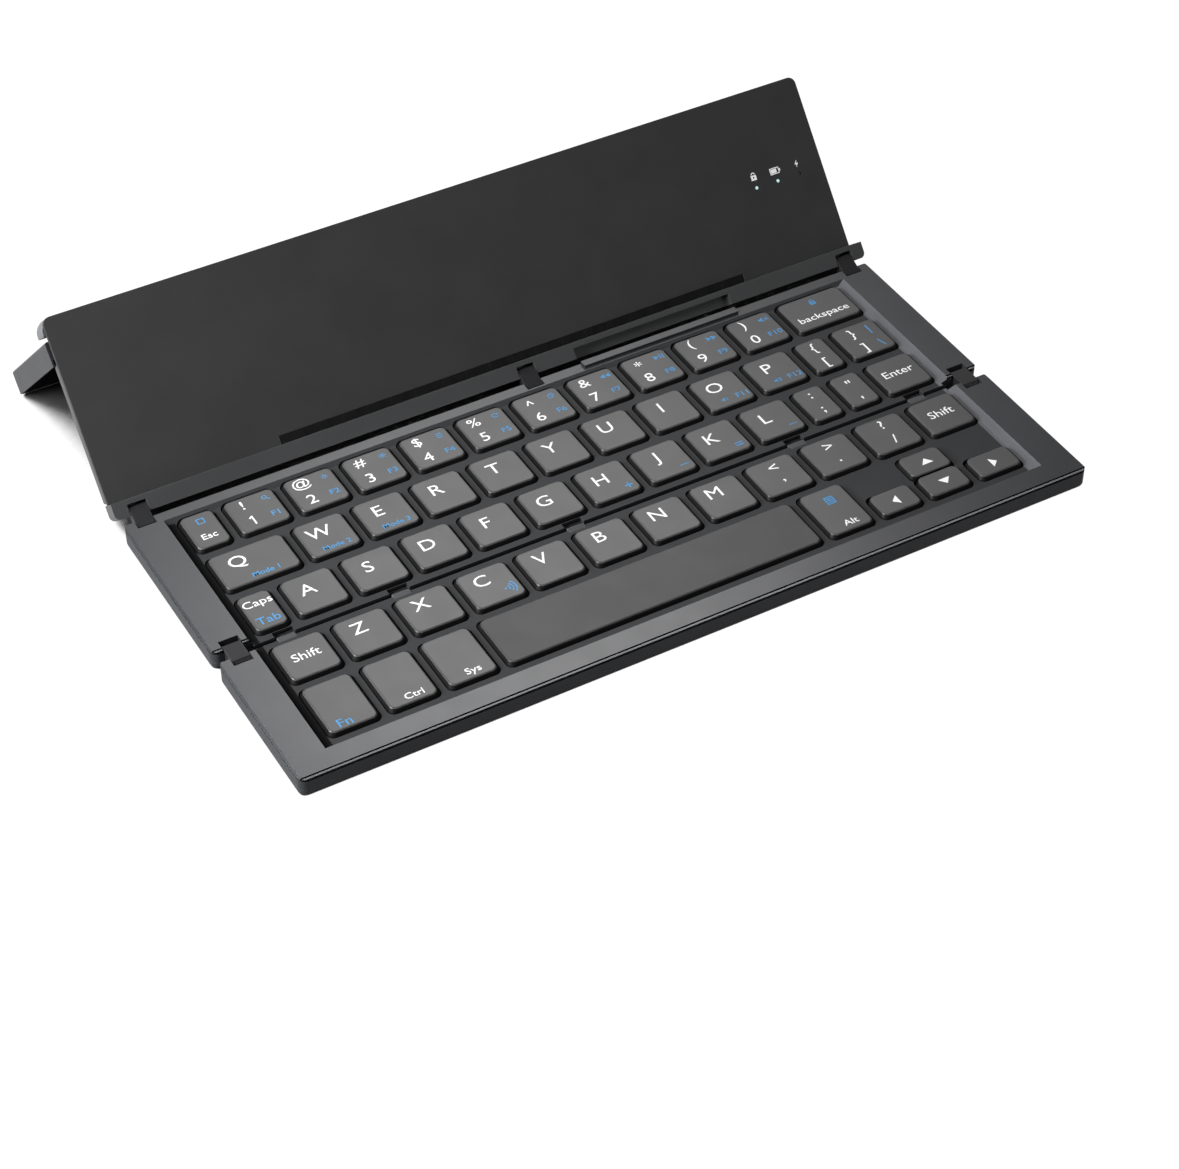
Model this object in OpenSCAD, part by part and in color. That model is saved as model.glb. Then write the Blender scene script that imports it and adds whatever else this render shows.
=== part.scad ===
// Folding keyboard: two key panels, a lid with a kickstand, and double-pivot hinge links.
// Millimetres. X runs along the width, +Y points to the back, +Z is up.
// The origin is the centre of the rear panel's underside.

/* [Case] */
// Overall width of the keyboard
case_w = 232; // [208:1:256]
// Depth of the rear key panel
rear_d = 56; // [50:0.5:62]
// Distance by which the front key panel is shallower than the rear one
front_short = 8.8; // [8:0.2:10]
// Thickness of a key panel, without its feet
panel_t = 5.4; // [5.2:0.1:6]
// Gap between the two key panels when they lie flat
fold_gap = 3.25; // [3:0.05:3.6]
// Reach of each deck into that gap, below the borders
lip_out = 0.9; // [0.6:0.05:1]
// Radius of the upright corners
corner_r = 2.2; // [1.5:0.1:3]
// Chamfer along the top edges of the panels and of the shell
edge_chamfer = 0.5; // [0.3:0.05:0.7]
// Chamfer along the bottom edges of the panels
under_chamfer = 0.4; // [0.2:0.05:0.6]
// Height by which the feet stand below the panels
foot_proud = 0.3; // [0.2:0.05:0.4]

/* [Key well] */
// Width of the flat border at each side of the well
side_border = 10.1; // [9.5:0.1:11]
// Width of the border behind the rear well
rear_border = 3.7; // [3.6:0.05:3.9]
// Width of the border in front of the front well
front_border = 7.1; // [5:0.1:7.3]
// Depth of the well below the border
well_depth = 1.3; // [1.1:0.05:1.4]
// Width of the slope round the well
well_slope = 1.0; // [0.6:0.1:1.2]
// Thickness of the deck round the keys
deck_t = 0.8; // [0.7:0.05:0.9]
// Thickness of the bottom covers
floor_t = 0.8; // [0.7:0.05:0.9]
// Height of the seam between bottom cover and deck
seam_z = 1.6; // [1.5:0.05:1.7]

/* [Keys] */
// Space between the top faces of two keys in a row
key_gap = 3.6; // [3.5:0.05:3.8]
// Space between the top faces of two rows of the rear panel
row_gap = 4.25; // [4:0.05:4.4]
// Space between the top faces of the two rows of the front panel
front_row_gap = 3.8; // [3.7:0.05:4]
// Space between the top faces of the outer keys and the slope of the well
key_margin = 2.6; // [2.4:0.05:2.8]
// Space between a top face and the fold between the panels
fold_margin = 1.85; // [1.8:0.05:2]
// Distance that a key travels
key_travel = 1.15; // [0.9:0.05:1.2]
// Height of the key tops below the border
key_drop = 0.15; // [0.1:0.05:0.3]
// Spread of a key's skirt beyond its top face
key_skirt = 0.75; // [0.6:0.05:0.8]
// Wall of a key cap
key_wall = 0.8; // [0.7:0.05:0.9]
// Spread of the skirt where two half keys face each other
facing_skirt = 0.2; // [0.1:0.05:0.25]
// Clearance round a key in its opening
key_clear = 0.25; // [0.2:0.05:0.3]
// Radius of a rubber dome
dome_r = 1.9; // [1.6:0.1:2.2]

/* [Hinge links] */
// Distance from a panel's top face down to its hinge pin
pin_depth = 2.3; // [2.2:0.05:2.4]
// Space left between two panels when one is folded onto the other
fold_space = 0.4; // [0.4:0.05:0.6]
// Width of a hinge link
link_w = 5; // [4.5:0.1:5.2]
// Reach of a link beyond each pin
link_reach = 1.3; // [1.2:0.05:1.35]
// Radius of a hinge pin
pin_r = 0.5; // [0.4:0.05:0.6]
// Length of pin that stands out of a link on each side
pin_out = 2; // [1.5:0.1:2.2]
// Radial clearance round a pin
pin_clear = 0.04; // [0.02:0.01:0.08]
// Distance from the side of a panel to the middle of its outer links
link_in_x = 5.8; // [5.5:0.1:6.2]
// Place of the middle lid link, to the right of the middle
mid_link_x = 5.6; // [0:0.1:10]

/* [Lid] */
// Angle through which the lid folds shut
lid_angle = 130.5; // [110:0.5:150]
// Width of the spine along the lid's hinge edge
spine_w = 4.6; // [4.4:0.1:4.8]
// Thickness of the lid's front plate
plate_t = 1.3; // [1.1:0.1:1.5]
// Thickness of the lid behind the front of its plate
lid_t = 6.9; // [6.8:0.1:8]
// Overhang of the lid beyond the panels at each side
lid_over = 1; // [0:0.1:1.2]
// Space between the lid's plate and the folded front panel
lid_space = 0.2; // [0.15:0.05:0.4]
// Width of the strip along the lid's free edge
strip_w = 4.8; // [4:0.1:6]
// Height of that strip above the shell
strip_proud = 0.7; // [0:0.1:1.5]
// Radius of the strip's outer corners
strip_corner_r = 4; // [2:0.5:4.5]
// Width of the groove between the strip and the kickstand shell
groove_w = 1.4; // [1.3:0.1:2.4]

/* [Kickstand] */
// Skin thickness of the kickstand shell
shell_t = 0.9; // [0.7:0.05:1]
// Thickness of the shell's side walls
shell_side = 0.6; // [0.5:0.1:0.8]
// Depth of the kickstand pins below the shell's outer face
pivot_depth = 2.7; // [2.6:0.05:2.7]
// Distance from the kickstand pins to the shell's edge at the groove
pivot_reach = 2.6; // [2.4:0.1:2.6]
// Extra width of the groove at its two ends
groove_step = 0.8; // [0.4:0.1:1]
// Length of those wider ends
groove_step_len = 11; // [6:0.5:20]
// Radius of the kickstand pins
stand_pin_r = 0.75; // [0.5:0.05:0.85]

/* [Phone rest] */
// Distance from the lid's left side to the rubber ledge
ledge_in_left = 51.1; // [40:0.1:70]
// Distance from the rubber ledge to the lid's right side
ledge_in_right = 36.4; // [34:0.2:60]
// Width of the ledge along the lid
ledge_w = 2.4; // [1.8:0.1:3]

/* [Hidden] */
$fn = 48;
eps = 0.01;

// ---- shared heights and lines of the two panels
rear_y = rear_d / 2;
fold_rear_y = -rear_d / 2;
fold_front_y = fold_rear_y - fold_gap;
front_d = rear_d - front_short;
front_y = fold_front_y - front_d;
lid_x = case_w / 2 + lid_over;
deck_z = panel_t - well_depth;
key_top_z = panel_t - key_drop;
deck_wall = 0.85;
lip_root = deck_wall / 2;
side_wall_x = case_w / 2 - side_border;
cavity_x = side_wall_x - well_slope - 0.5;
well_rear_y = rear_y - rear_border;
well_front_y = front_y + front_border;
sheet_t = 0.3;
mat_t = 0.25;
board_z = floor_t;
mat_z = board_z + sheet_t;
key_low_z = mat_z + mat_t + key_travel + 0.1;
dome_top_z = key_top_z - key_wall - key_travel - 0.1;
cap_ceiling_z = key_top_z - key_wall;
foot_r = 4;
foot_sink = 0.4;
foot_in_x = 18;
foot_in_y = 9;

// ---- rows of keys: the depths of the top faces fill the two panels
row_left = -case_w / 2 + side_border + well_slope + key_margin;
row_span = -2 * row_left;
row1_rear_y = rear_y - rear_border - well_slope - 0.6;
key_d = (row1_rear_y - fold_rear_y - fold_margin - 0.15 - 2 * row_gap) / 3;
row4_rear_y = fold_front_y - fold_margin;
row5_rear_y = row4_rear_y - key_d - front_row_gap;
space_row_d = row5_rear_y - well_front_y - well_slope - key_margin - 0.35;
half_key_d = (space_row_d - 0.8) / 2;

// Relative widths of the top faces from left to right, scaled to fill the row
letter = 13.6;
low_letter = 13.8;
ROWS = [
  [8.9, for (i = [1:10]) letter, 20.1],
  [20.5, for (i = [1:9]) letter, 8.6, 13.5],
  [8.4, for (i = [1:9]) letter, 8.5, 8.4, 13.7],
  [13.3, for (i = [1:10]) low_letter, 13.7],
  [12.8, 12.8, 13, 91.8, 12.5, 11.7, 12.2, 12.6]
];
ROW_Y = [row1_rear_y, row1_rear_y - key_d - row_gap, row1_rear_y - 2 * (key_d + row_gap),
         row4_rear_y, row5_rear_y];
ROW_D = [key_d, key_d, key_d, key_d, space_row_d];

function sum_to(v, n, i = 0) = i >= n ? 0 : v[i] + sum_to(v, n, i + 1);
function row_scale(row) = (row_span - (len(ROWS[row]) - 1) * key_gap) / sum_to(ROWS[row], len(ROWS[row]));
function cap_w(row, i) = ROWS[row][i] * row_scale(row);
function cap_x(row, i) = row_left + sum_to(ROWS[row], i) * row_scale(row) + i * key_gap + cap_w(row, i) / 2;

// A key is [row, place in the row, part], where part is 0 for the full depth of the row,
// 1 for its rear half and -1 for its front half.
function cap_d(key) = key[2] == 0 ? ROW_D[key[0]] : half_key_d;
function cap_y(key) = key[2] == -1
  ? ROW_Y[key[0]] - ROW_D[key[0]] + half_key_d / 2
  : ROW_Y[key[0]] - cap_d(key) / 2;

ESC = [[0, 0, 0]];
DIGITS_LEFT = [for (i = [1:5]) [0, i, 0]];
DIGITS_RIGHT = [for (i = [6:10]) [0, i, 0]];
BACKSPACE = [[0, 11, 0]];
KEY_Q = [[1, 0, 0]];
LETTERS_WER = [for (i = [1:3]) [1, i, 0]];
LETTERS_TYU = [for (i = [4:6]) [1, i, 0]];
LETTERS_IOP = [for (i = [7:9]) [1, i, 0]];
BRACKET_LEFT = [[1, 10, 0]];
BRACKET_RIGHT = [[1, 11, 0]];
CAPS = [[2, 0, 0]];
LETTERS_ASD = [for (i = [1:3]) [2, i, 0]];
LETTERS_FGH = [for (i = [4:6]) [2, i, 0]];
LETTERS_JKL = [for (i = [7:9]) [2, i, 0]];
SEMICOLON = [[2, 10, 0]];
QUOTE = [[2, 11, 0]];
ENTER = [[2, 12, 0]];
SHIFT_LEFT = [[3, 0, 0]];
LETTERS_ZXCVB = [for (i = [1:5]) [3, i, 0]];
LETTERS_NM = [for (i = [6:10]) [3, i, 0]];
SHIFT_RIGHT = [[3, 11, 0]];
KEY_FN = [[4, 0, 0]];
CTRL = [[4, 1, 0]];
SYSTEM = [[4, 2, 0]];
SPACE = [[4, 3, 0]];
ALT = [[4, 4, 0]];
ARROW_LEFT = [[4, 5, -1]];
ARROW_UP = [[4, 6, 1]];
ARROW_DOWN = [[4, 6, -1]];
ARROW_RIGHT = [[4, 7, -1]];
REAR_KEYS = concat(ESC, DIGITS_LEFT, DIGITS_RIGHT, BACKSPACE, KEY_Q, LETTERS_WER, LETTERS_TYU,
                   LETTERS_IOP, BRACKET_LEFT, BRACKET_RIGHT, CAPS, LETTERS_ASD, LETTERS_FGH,
                   LETTERS_JKL, SEMICOLON, QUOTE, ENTER);
FRONT_KEYS = concat(SHIFT_LEFT, LETTERS_ZXCVB, LETTERS_NM, SHIFT_RIGHT, KEY_FN, CTRL, SYSTEM,
                    SPACE, ALT, ARROW_LEFT, ARROW_UP, ARROW_DOWN, ARROW_RIGHT);

// ---- hinge links: two pins a fixed distance apart, which stand upright when a panel is folded
pin_span = 2 * pin_depth + fold_space;
pin_inset = (pin_span - fold_gap) / 2;
pin_z = panel_t - pin_depth;
notch_reach = 2.4;
notch_w = link_w + 0.4;
link_top = pin_depth - 0.1;
link_under = pin_inset - 0.03;
link_bevel = 0.8;
hinge_pin_len = link_w + 2 * pin_out;
front_link_x = case_w / 2 - link_in_x;
front_links_at = [-front_link_x, front_link_x];
lid_links_at = [-front_link_x, mid_link_x, front_link_x];

// ---- lid, drawn shut over the rear panel and then swung open
rim_z = panel_t + fold_space;
folded_top_z = 2 * panel_t + fold_space + foot_proud;
plate_z = folded_top_z + lid_space;
shell_top_z = plate_z + lid_t;
plate_back_z = plate_z + plate_t;
plate_x = lid_x - shell_side - 0.2;
lid_pin_y = rear_y - pin_inset;
lid_pin_z = rim_z + pin_depth;
link_tilt = 90 - lid_angle / 2;
open_pin_y = lid_pin_y + pin_span * cos(link_tilt);
open_pin_z = pin_z + pin_span * sin(link_tilt);

// ---- kickstand, whose free edge stands on the table
table_z = -foot_proud;
pivot_y = fold_rear_y + strip_w + groove_w + pivot_reach;
pivot_z = shell_top_z - pivot_depth;
wall_low_z = plate_z + 0.2;
function turned(y, z, a) = [y * cos(a) - z * sin(a), y * sin(a) + z * cos(a)];
open_pivot = [open_pin_y, open_pin_z] + turned(pivot_y - lid_pin_y, pivot_z - lid_pin_z, -lid_angle);
edge_reach = norm([rear_y - pivot_y, wall_low_z - pivot_z]);
edge_drop = atan2(wall_low_z - pivot_z, rear_y - pivot_y);
stand_open = asin((table_z - open_pivot[1]) / edge_reach) - edge_drop + lid_angle;

// ---- housing behind the plate
housing_top_z = shell_top_z - shell_t - 0.4;
housing_wall = 0.8;
housing_low_y = rear_y - spine_w - 0.4;
housing_high_y = pivot_y + pivot_depth + 1.1;
housing_low_r = 3;
housing_side_r = 2;
boss_t = 1.2;
ear_t = 3.2;
ear_x = lid_x - shell_side - boss_t - 0.3 - ear_t / 2;
ear_r = pivot_depth - shell_t - 0.3;
boss_r = pivot_reach - groove_step;
battery_in_left = 26.4;
battery_in_right = 56.4;
battery_in_y = 12;
battery_t = 2.7;
board_in_left = 11.4;
board_in_right = 53.4;
board_w = 8;
board_t = 0.8;
port_y = rear_y - 19.5;
port_w = 8.6;
port_h = 2.7;
port_z = plate_back_z + 0.35 + port_h / 2;
socket_len = 7;
indicator_x = [lid_x - 23.3, lid_x - 16.1, lid_x - 8.8];
indicator_y = rear_y - 28.8;
indicator_r = 0.55;
magnet_x = case_w / 2 - 5;
magnet_r = 1.8;
magnet_t = 1.2;
magnet_y = front_y + 4;
folded_magnet_y = fold_rear_y + fold_front_y - magnet_y;
ledge_sink = 0.5;
ledge_left = -lid_x + ledge_in_left;
ledge_right = lid_x - ledge_in_right;
ledge_y = rear_y - spine_w - ledge_w / 2;
pocket_x = [0.0897 * case_w, 0.3078 * case_w];
pocket_depth = 3;
pocket_w = 3.1;
bumper_at = [for (share = [-0.416, -0.277, -0.0565, 0.238, 0.406]) share * case_w];
bumper_w = 5;
bumper_out = lip_out + 1.1;
bumper_low_z = deck_z - 1.5 * deck_t;

// ---- shapes used by several parts

// Rectangle with round corners, between two corners
module round_box(x0, y0, x1, y1, r) {
  translate([x0 + r, y0]) square([x1 - x0 - 2 * r, y1 - y0]);
  translate([x0, y0 + r]) square([x1 - x0, y1 - y0 - 2 * r]);
  for (x = [x0 + r, x1 - r], y = [y0 + r, y1 - r])
    translate([x, y]) circle(r);
}

// Rectangle with round corners, about the centre
module round_rect(w, d, r) {
  round_box(-w / 2, -d / 2, w / 2, d / 2, r);
}

// Cylinder along X, about its middle
module rod(r, len) {
  rotate([0, 90, 0]) cylinder(r = r, h = len, center = true);
}

// Profile in the YZ plane drawn out along X, about its middle
module along_x(len) {
  rotate([90, 0, 90]) translate([0, 0, -len / 2]) linear_extrude(len) children();
}

// Profile in the XZ plane drawn out along Y from y0 to y1
module along_y(y0, y1) {
  translate([0, y1, 0]) rotate([90, 0, 0]) linear_extrude(y1 - y0) children();
}

// Wedges that chamfer the top edges of a panel between two depths
module top_chamfers(y0, y1) {
  c = edge_chamfer;
  for (y = [y0, y1])
    translate([0, y, panel_t]) rotate([45, 0, 0])
      cube([case_w + 2, c * sqrt(2), c * sqrt(2)], center = true);
  for (x = [-case_w / 2, case_w / 2])
    translate([x, (y0 + y1) / 2, panel_t]) rotate([0, 45, 0])
      cube([c * sqrt(2), y1 - y0 + 2, c * sqrt(2)], center = true);
}

// Wedges that chamfer the bottom edges of a panel between two depths
module bottom_chamfers(y0, y1) {
  c = under_chamfer;
  for (y = [y0, y1])
    translate([0, y, 0]) rotate([45, 0, 0])
      cube([case_w + 2, c * sqrt(2), c * sqrt(2)], center = true);
  for (x = [-case_w / 2, case_w / 2])
    translate([x, (y0 + y1) / 2, 0]) rotate([0, 45, 0])
      cube([c * sqrt(2), y1 - y0 + 2, c * sqrt(2)], center = true);
}

// Pocket of the key well between two depths, with sloping walls
module well(y0, y1) {
  intersection() {
    along_y(y0, y1)
      polygon([[-side_wall_x + well_slope, deck_z], [side_wall_x - well_slope, deck_z],
               [side_wall_x + eps, panel_t + eps], [-side_wall_x - eps, panel_t + eps]]);
    along_x(case_w)
      polygon([[y0 + well_slope, deck_z], [y1 - well_slope, deck_z],
               [y1 + eps, panel_t + eps], [y0 - eps, panel_t + eps]]);
  }
}

// Openings in a deck for a list of keys
module key_openings(keys) {
  grow = 2 * (key_skirt + key_clear);
  for (k = keys)
    translate([cap_x(k[0], k[1]), cap_y(k), seam_z])
      linear_extrude(panel_t) round_rect(cap_w(k[0], k[1]) + grow, cap_d(k) + grow, 2);
}

// Notches that clear the links along one edge of a panel, cut from the edge inwards
module link_notches(places, edge_y, inward) {
  reach = pin_inset + notch_reach;
  for (x = places)
    translate([x, edge_y + inward * (reach / 2 - 1), panel_t / 2])
      cube([notch_w, reach + 2, panel_t * 2], center = true);
}

// Lip of a deck that reaches into the fold between two depths, with gaps for the bumpers
module fold_lip(y0, y1, bumper_gap) {
  lip_x = side_wall_x - well_slope;
  difference() {
    translate([-lip_x, y0, deck_z - deck_t]) cube([2 * lip_x, y1 - y0, deck_t]);
    bumper_gaps(y0 - 1, y1 + eps, bumper_gap);
  }
}

// Gaps at the bumpers between two depths
module bumper_gaps(y0, y1, width) {
  for (x = bumper_at)
    translate([x - width / 2, y0, bumper_low_z - 0.1]) cube([width, y1 - y0, panel_t]);
}

// Bores for the link pins beside each notch
module pin_bores(places, y, z) {
  for (x = places)
    translate([x, y, z]) rod(pin_r + pin_clear, hinge_pin_len + 0.4);
}

// ---- the two key panels

module panel_base(y0, y1) {
  difference() {
    linear_extrude(seam_z) round_box(-case_w / 2, y0, case_w / 2, y1, corner_r);
    translate([-cavity_x, y0 + deck_wall, floor_t])
      cube([2 * cavity_x, y1 - y0 - 2 * deck_wall, seam_z]);
    bottom_chamfers(y0, y1);
  }
}

module feet(y0, y1) {
  color([0.1, 0.1, 0.1])
    for (x = [-case_w / 2 + foot_in_x, case_w / 2 - foot_in_x], y = [y0 + foot_in_y, y1 - foot_in_y])
      translate([x, y, -foot_proud]) cylinder(r = foot_r, h = foot_proud + foot_sink);
}

module foot_recesses(y0, y1) {
  for (x = [-case_w / 2 + foot_in_x, case_w / 2 - foot_in_x], y = [y0 + foot_in_y, y1 - foot_in_y])
    translate([x, y, -1]) cylinder(r = foot_r + 0.1, h = 1 + foot_sink);
}

module board(y0, y1) {
  color([0.15, 0.3, 0.2])
    translate([-cavity_x + 0.3, y0, board_z]) cube([2 * cavity_x - 0.6, y1 - y0, sheet_t]);
}

module dome_mat(y0, y1, keys) {
  color([0.75, 0.75, 0.72]) {
    translate([-cavity_x + 0.3, y0, mat_z]) cube([2 * cavity_x - 0.6, y1 - y0, mat_t]);
    for (k = keys)
      translate([cap_x(k[0], k[1]), cap_y(k), mat_z])
        cylinder(r = dome_r, h = dome_top_z - mat_z);
  }
}

module rear_base() {
  color([0.3, 0.3, 0.31])
    difference() {
      panel_base(fold_rear_y, rear_y);
      foot_recesses(fold_rear_y, rear_y);
      link_notches(front_links_at, fold_rear_y, 1);
      link_notches(lid_links_at, rear_y, -1);
    }
}

module rear_deck() {
  color([0.38, 0.38, 0.4]) {
    difference() {
      translate([0, 0, seam_z]) linear_extrude(panel_t - seam_z)
        round_box(-case_w / 2, fold_rear_y, case_w / 2, rear_y, corner_r);
      top_chamfers(fold_rear_y, rear_y);
      well(fold_rear_y - 2, well_rear_y);
      translate([-cavity_x, fold_rear_y + deck_wall, seam_z - 1])
        cube([2 * cavity_x, well_rear_y - 0.3 - fold_rear_y - deck_wall,
              deck_z - deck_t - seam_z + 1]);
      key_openings(REAR_KEYS);
      link_notches(front_links_at, fold_rear_y, 1);
      link_notches(lid_links_at, rear_y, -1);
      pin_bores(front_links_at, fold_rear_y + pin_inset, pin_z);
      pin_bores(lid_links_at, rear_y - pin_inset, pin_z);
      bumper_gaps(fold_rear_y - 1, fold_rear_y + deck_wall + eps, bumper_w + 0.8);
    }
    fold_lip(fold_rear_y - lip_out, fold_rear_y + lip_root, bumper_w + 0.8);
    rear_tongue();
  }
}

// Raised tongue on the rear rim that fills the pocket of the spine
module rear_tongue() {
  x0 = pocket_x[0] + 0.3;
  tongue_h = 0.9;
  translate([x0, rear_y - pocket_w + 0.4, panel_t])
    cube([pocket_x[1] - 0.3 - x0, pocket_w - 0.4 - edge_chamfer, tongue_h]);
}

module rear_board() {
  board(fold_rear_y + deck_wall + 0.3, well_rear_y - 0.6);
}

module rear_dome_mat() {
  dome_mat(fold_rear_y + deck_wall + 0.3, well_rear_y - 0.6, REAR_KEYS);
}

module rear_feet() {
  feet(fold_rear_y, rear_y);
}

module front_base() {
  color([0.3, 0.3, 0.31])
    difference() {
      panel_base(front_y, fold_front_y);
      foot_recesses(front_y, fold_front_y);
      link_notches(front_links_at, fold_front_y, -1);
    }
}

module front_deck() {
  color([0.38, 0.38, 0.4]) {
    difference() {
      translate([0, 0, seam_z]) linear_extrude(panel_t - seam_z)
        round_box(-case_w / 2, front_y, case_w / 2, fold_front_y, corner_r);
      top_chamfers(front_y, fold_front_y);
      well(well_front_y, fold_front_y + 2);
      translate([-cavity_x, front_y + deck_wall + 3, seam_z - 1])
        cube([2 * cavity_x, front_d - 2 * deck_wall - 3, deck_z - deck_t - seam_z + 1]);
      key_openings(FRONT_KEYS);
      link_notches(front_links_at, fold_front_y, -1);
      pin_bores(front_links_at, fold_front_y - pin_inset, pin_z);
      for (x = [-magnet_x, magnet_x])
        translate([x, magnet_y, seam_z - 1]) cylinder(r = magnet_r + 0.05, h = magnet_t + 1);
    }
    fold_lip(fold_front_y - lip_root, fold_front_y + lip_out, bumper_w + 0.2);
  }
}

module front_board() {
  board(front_y + deck_wall + 3.3, fold_front_y - deck_wall - 0.3);
}

module front_dome_mat() {
  dome_mat(front_y + deck_wall + 3.3, fold_front_y - deck_wall - 0.3, FRONT_KEYS);
}

module front_feet() {
  feet(front_y, fold_front_y);
}

module fold_bumpers() {
  color([0.36, 0.36, 0.37])
    for (x = bumper_at)
      translate([x - bumper_w / 2, fold_front_y, bumper_low_z])
        cube([bumper_w, bumper_out, deck_z - bumper_low_z]);
}

module front_magnets() {
  color("silver")
    for (x = [-magnet_x, magnet_x])
      translate([x, magnet_y, seam_z]) cylinder(r = magnet_r, h = magnet_t);
}

// ---- hinge links, drawn flat about the middle of their two pins, top face up

module link_profile() {
  half = pin_span / 2 + link_reach;
  polygon([[-half, link_top - link_bevel], [-half + link_bevel, link_top],
           [half - link_bevel, link_top], [half, link_top - link_bevel],
           [half, -link_under], [-half, -link_under]]);
}

module link() {
  slot_z = 1.25;
  color([0.16, 0.16, 0.17])
    difference() {
      along_x(link_w) link_profile();
      for (y = [-pin_span / 2, pin_span / 2])
        translate([0, y, 0]) rod(pin_r, link_w + 1);
      translate([0, 0, slot_z]) cube([link_w - 1.4, pin_span + 3 * link_reach, 0.5], center = true);
    }
}

module link_pins() {
  color("silver")
    for (y = [-pin_span / 2, pin_span / 2])
      translate([0, y, 0]) rod(pin_r, hinge_pin_len);
}

// Flat ribbon that runs through the slot of a link
module link_ribbon() {
  slot_z = 1.25;
  color([0.6, 0.4, 0.15])
    translate([0, 0, slot_z]) cube([link_w - 2, pin_span + 2 * link_reach - 0.2, 0.2], center = true);
}

module front_link_place(x) {
  translate([x, (fold_rear_y + fold_front_y) / 2, pin_z]) children();
}

module lid_link_place(x) {
  translate([x, lid_pin_y, pin_z]) rotate([link_tilt, 0, 0])
    translate([0, pin_span / 2, 0]) children();
}

module front_links() {
  for (x = front_links_at) front_link_place(x) link();
}

module front_link_pins() {
  for (x = front_links_at) front_link_place(x) link_pins();
}

module front_flex() {
  front_link_place(front_link_x) link_ribbon();
}

module lid_links() {
  for (x = lid_links_at) lid_link_place(x) link();
}

module lid_link_pins() {
  for (x = lid_links_at) lid_link_place(x) link_pins();
}

module lid_flex() {
  lid_link_place(front_link_x) link_ribbon();
}

// ---- lid, drawn shut and swung open about its upper hinge pins

module lid_open() {
  translate([0, open_pin_y, open_pin_z]) rotate([-lid_angle, 0, 0])
    translate([0, -lid_pin_y, -lid_pin_z]) children();
}

module lid_plate() {
  color([0.24, 0.24, 0.24]) lid_open() {
    difference() {
      translate([0, 0, plate_z]) linear_extrude(plate_t)
        round_box(-plate_x, fold_rear_y, plate_x, rear_y - shell_t - 0.3, corner_r);
      translate([ledge_left, ledge_y - ledge_w / 2, plate_z - 1])
        cube([ledge_right - ledge_left, ledge_w, 1 + ledge_sink]);
      for (x = indicator_x)
        translate([x, indicator_y, plate_z]) cylinder(r = indicator_r, h = 3 * plate_t, center = true);
    }
    for (x = [-ear_x, ear_x]) plate_ear(x);
  }
}

// Bored ear that carries one kickstand pin
module plate_ear(x) {
  difference() {
    union() {
      translate([x, pivot_y, pivot_z]) rod(ear_r, ear_t);
      translate([x - ear_t / 2, pivot_y - ear_r, plate_back_z])
        cube([ear_t, 2 * ear_r, pivot_z - plate_back_z]);
    }
    translate([x, pivot_y, pivot_z]) rod(stand_pin_r + pin_clear, ear_t + 1);
  }
}

module lid_spine() {
  notch = pin_inset + notch_reach;
  color([0.3, 0.3, 0.3]) lid_open()
    difference() {
      translate([0, 0, rim_z]) linear_extrude(plate_z - rim_z)
        intersection() {
          round_box(-lid_x, rear_y - 2 * spine_w, lid_x, rear_y, 1.6);
          translate([-lid_x, rear_y - spine_w]) square([2 * lid_x, spine_w]);
        }
      for (x = lid_links_at)
        translate([x - notch_w / 2, rear_y - notch, rim_z - 1])
          cube([notch_w, notch + 1, 1 + pin_depth + notch_reach]);
      pin_bores(lid_links_at, lid_pin_y, lid_pin_z);
      translate([pocket_x[0], rear_y - pocket_w, rim_z - 1])
        cube([pocket_x[1] - pocket_x[0], pocket_w + 1, 1 + pocket_depth]);
    }
}

module lid_strip() {
  color([0.4, 0.4, 0.42]) lid_open()
    translate([0, 0, plate_back_z])
      linear_extrude(shell_top_z + strip_proud - plate_back_z)
        intersection() {
          round_box(-lid_x, fold_rear_y, lid_x, fold_rear_y + 3 * strip_w, strip_corner_r);
          translate([-lid_x, fold_rear_y]) square([2 * lid_x, strip_w]);
        }
}

// Housing without its hollow: rounded along the hinge side and at both ends
module housing_block() {
  h = housing_top_z - plate_back_z;
  intersection() {
    along_x(2 * plate_x) {
      translate([housing_high_y, plate_back_z])
        square([housing_low_y - housing_low_r - housing_high_y, h]);
      translate([housing_high_y, plate_back_z])
        square([housing_low_y - housing_high_y, h - housing_low_r]);
      translate([housing_low_y - housing_low_r, housing_top_z - housing_low_r])
        circle(housing_low_r);
    }
    along_y(housing_high_y, housing_low_y) {
      translate([-plate_x, plate_back_z]) square([2 * plate_x, h - housing_side_r]);
      round_box(-plate_x, plate_back_z, plate_x, housing_top_z, housing_side_r);
    }
  }
}

module core_housing() {
  hollow_x = plate_x - housing_wall;
  hollow_y = housing_high_y + housing_wall;
  hollow_low_y = housing_low_y - housing_low_r / 2;
  color([0.3, 0.3, 0.31]) lid_open()
    difference() {
      housing_block();
      translate([-hollow_x, hollow_y, plate_back_z - 1])
        cube([2 * hollow_x, hollow_low_y - hollow_y, housing_top_z - housing_wall - plate_back_z + 1]);
      translate([plate_x, port_y, port_z]) cube([4, port_w, port_h], center = true);
    }
}

module battery() {
  x0 = -lid_x + battery_in_left;
  x1 = lid_x - battery_in_right;
  y0 = housing_high_y + battery_in_y;
  color([0.5, 0.5, 0.52]) lid_open()
    translate([x0, y0, plate_back_z + 0.3])
      cube([x1 - x0, housing_low_y - housing_low_r / 2 - 0.3 - y0, battery_t]);
}

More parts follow.
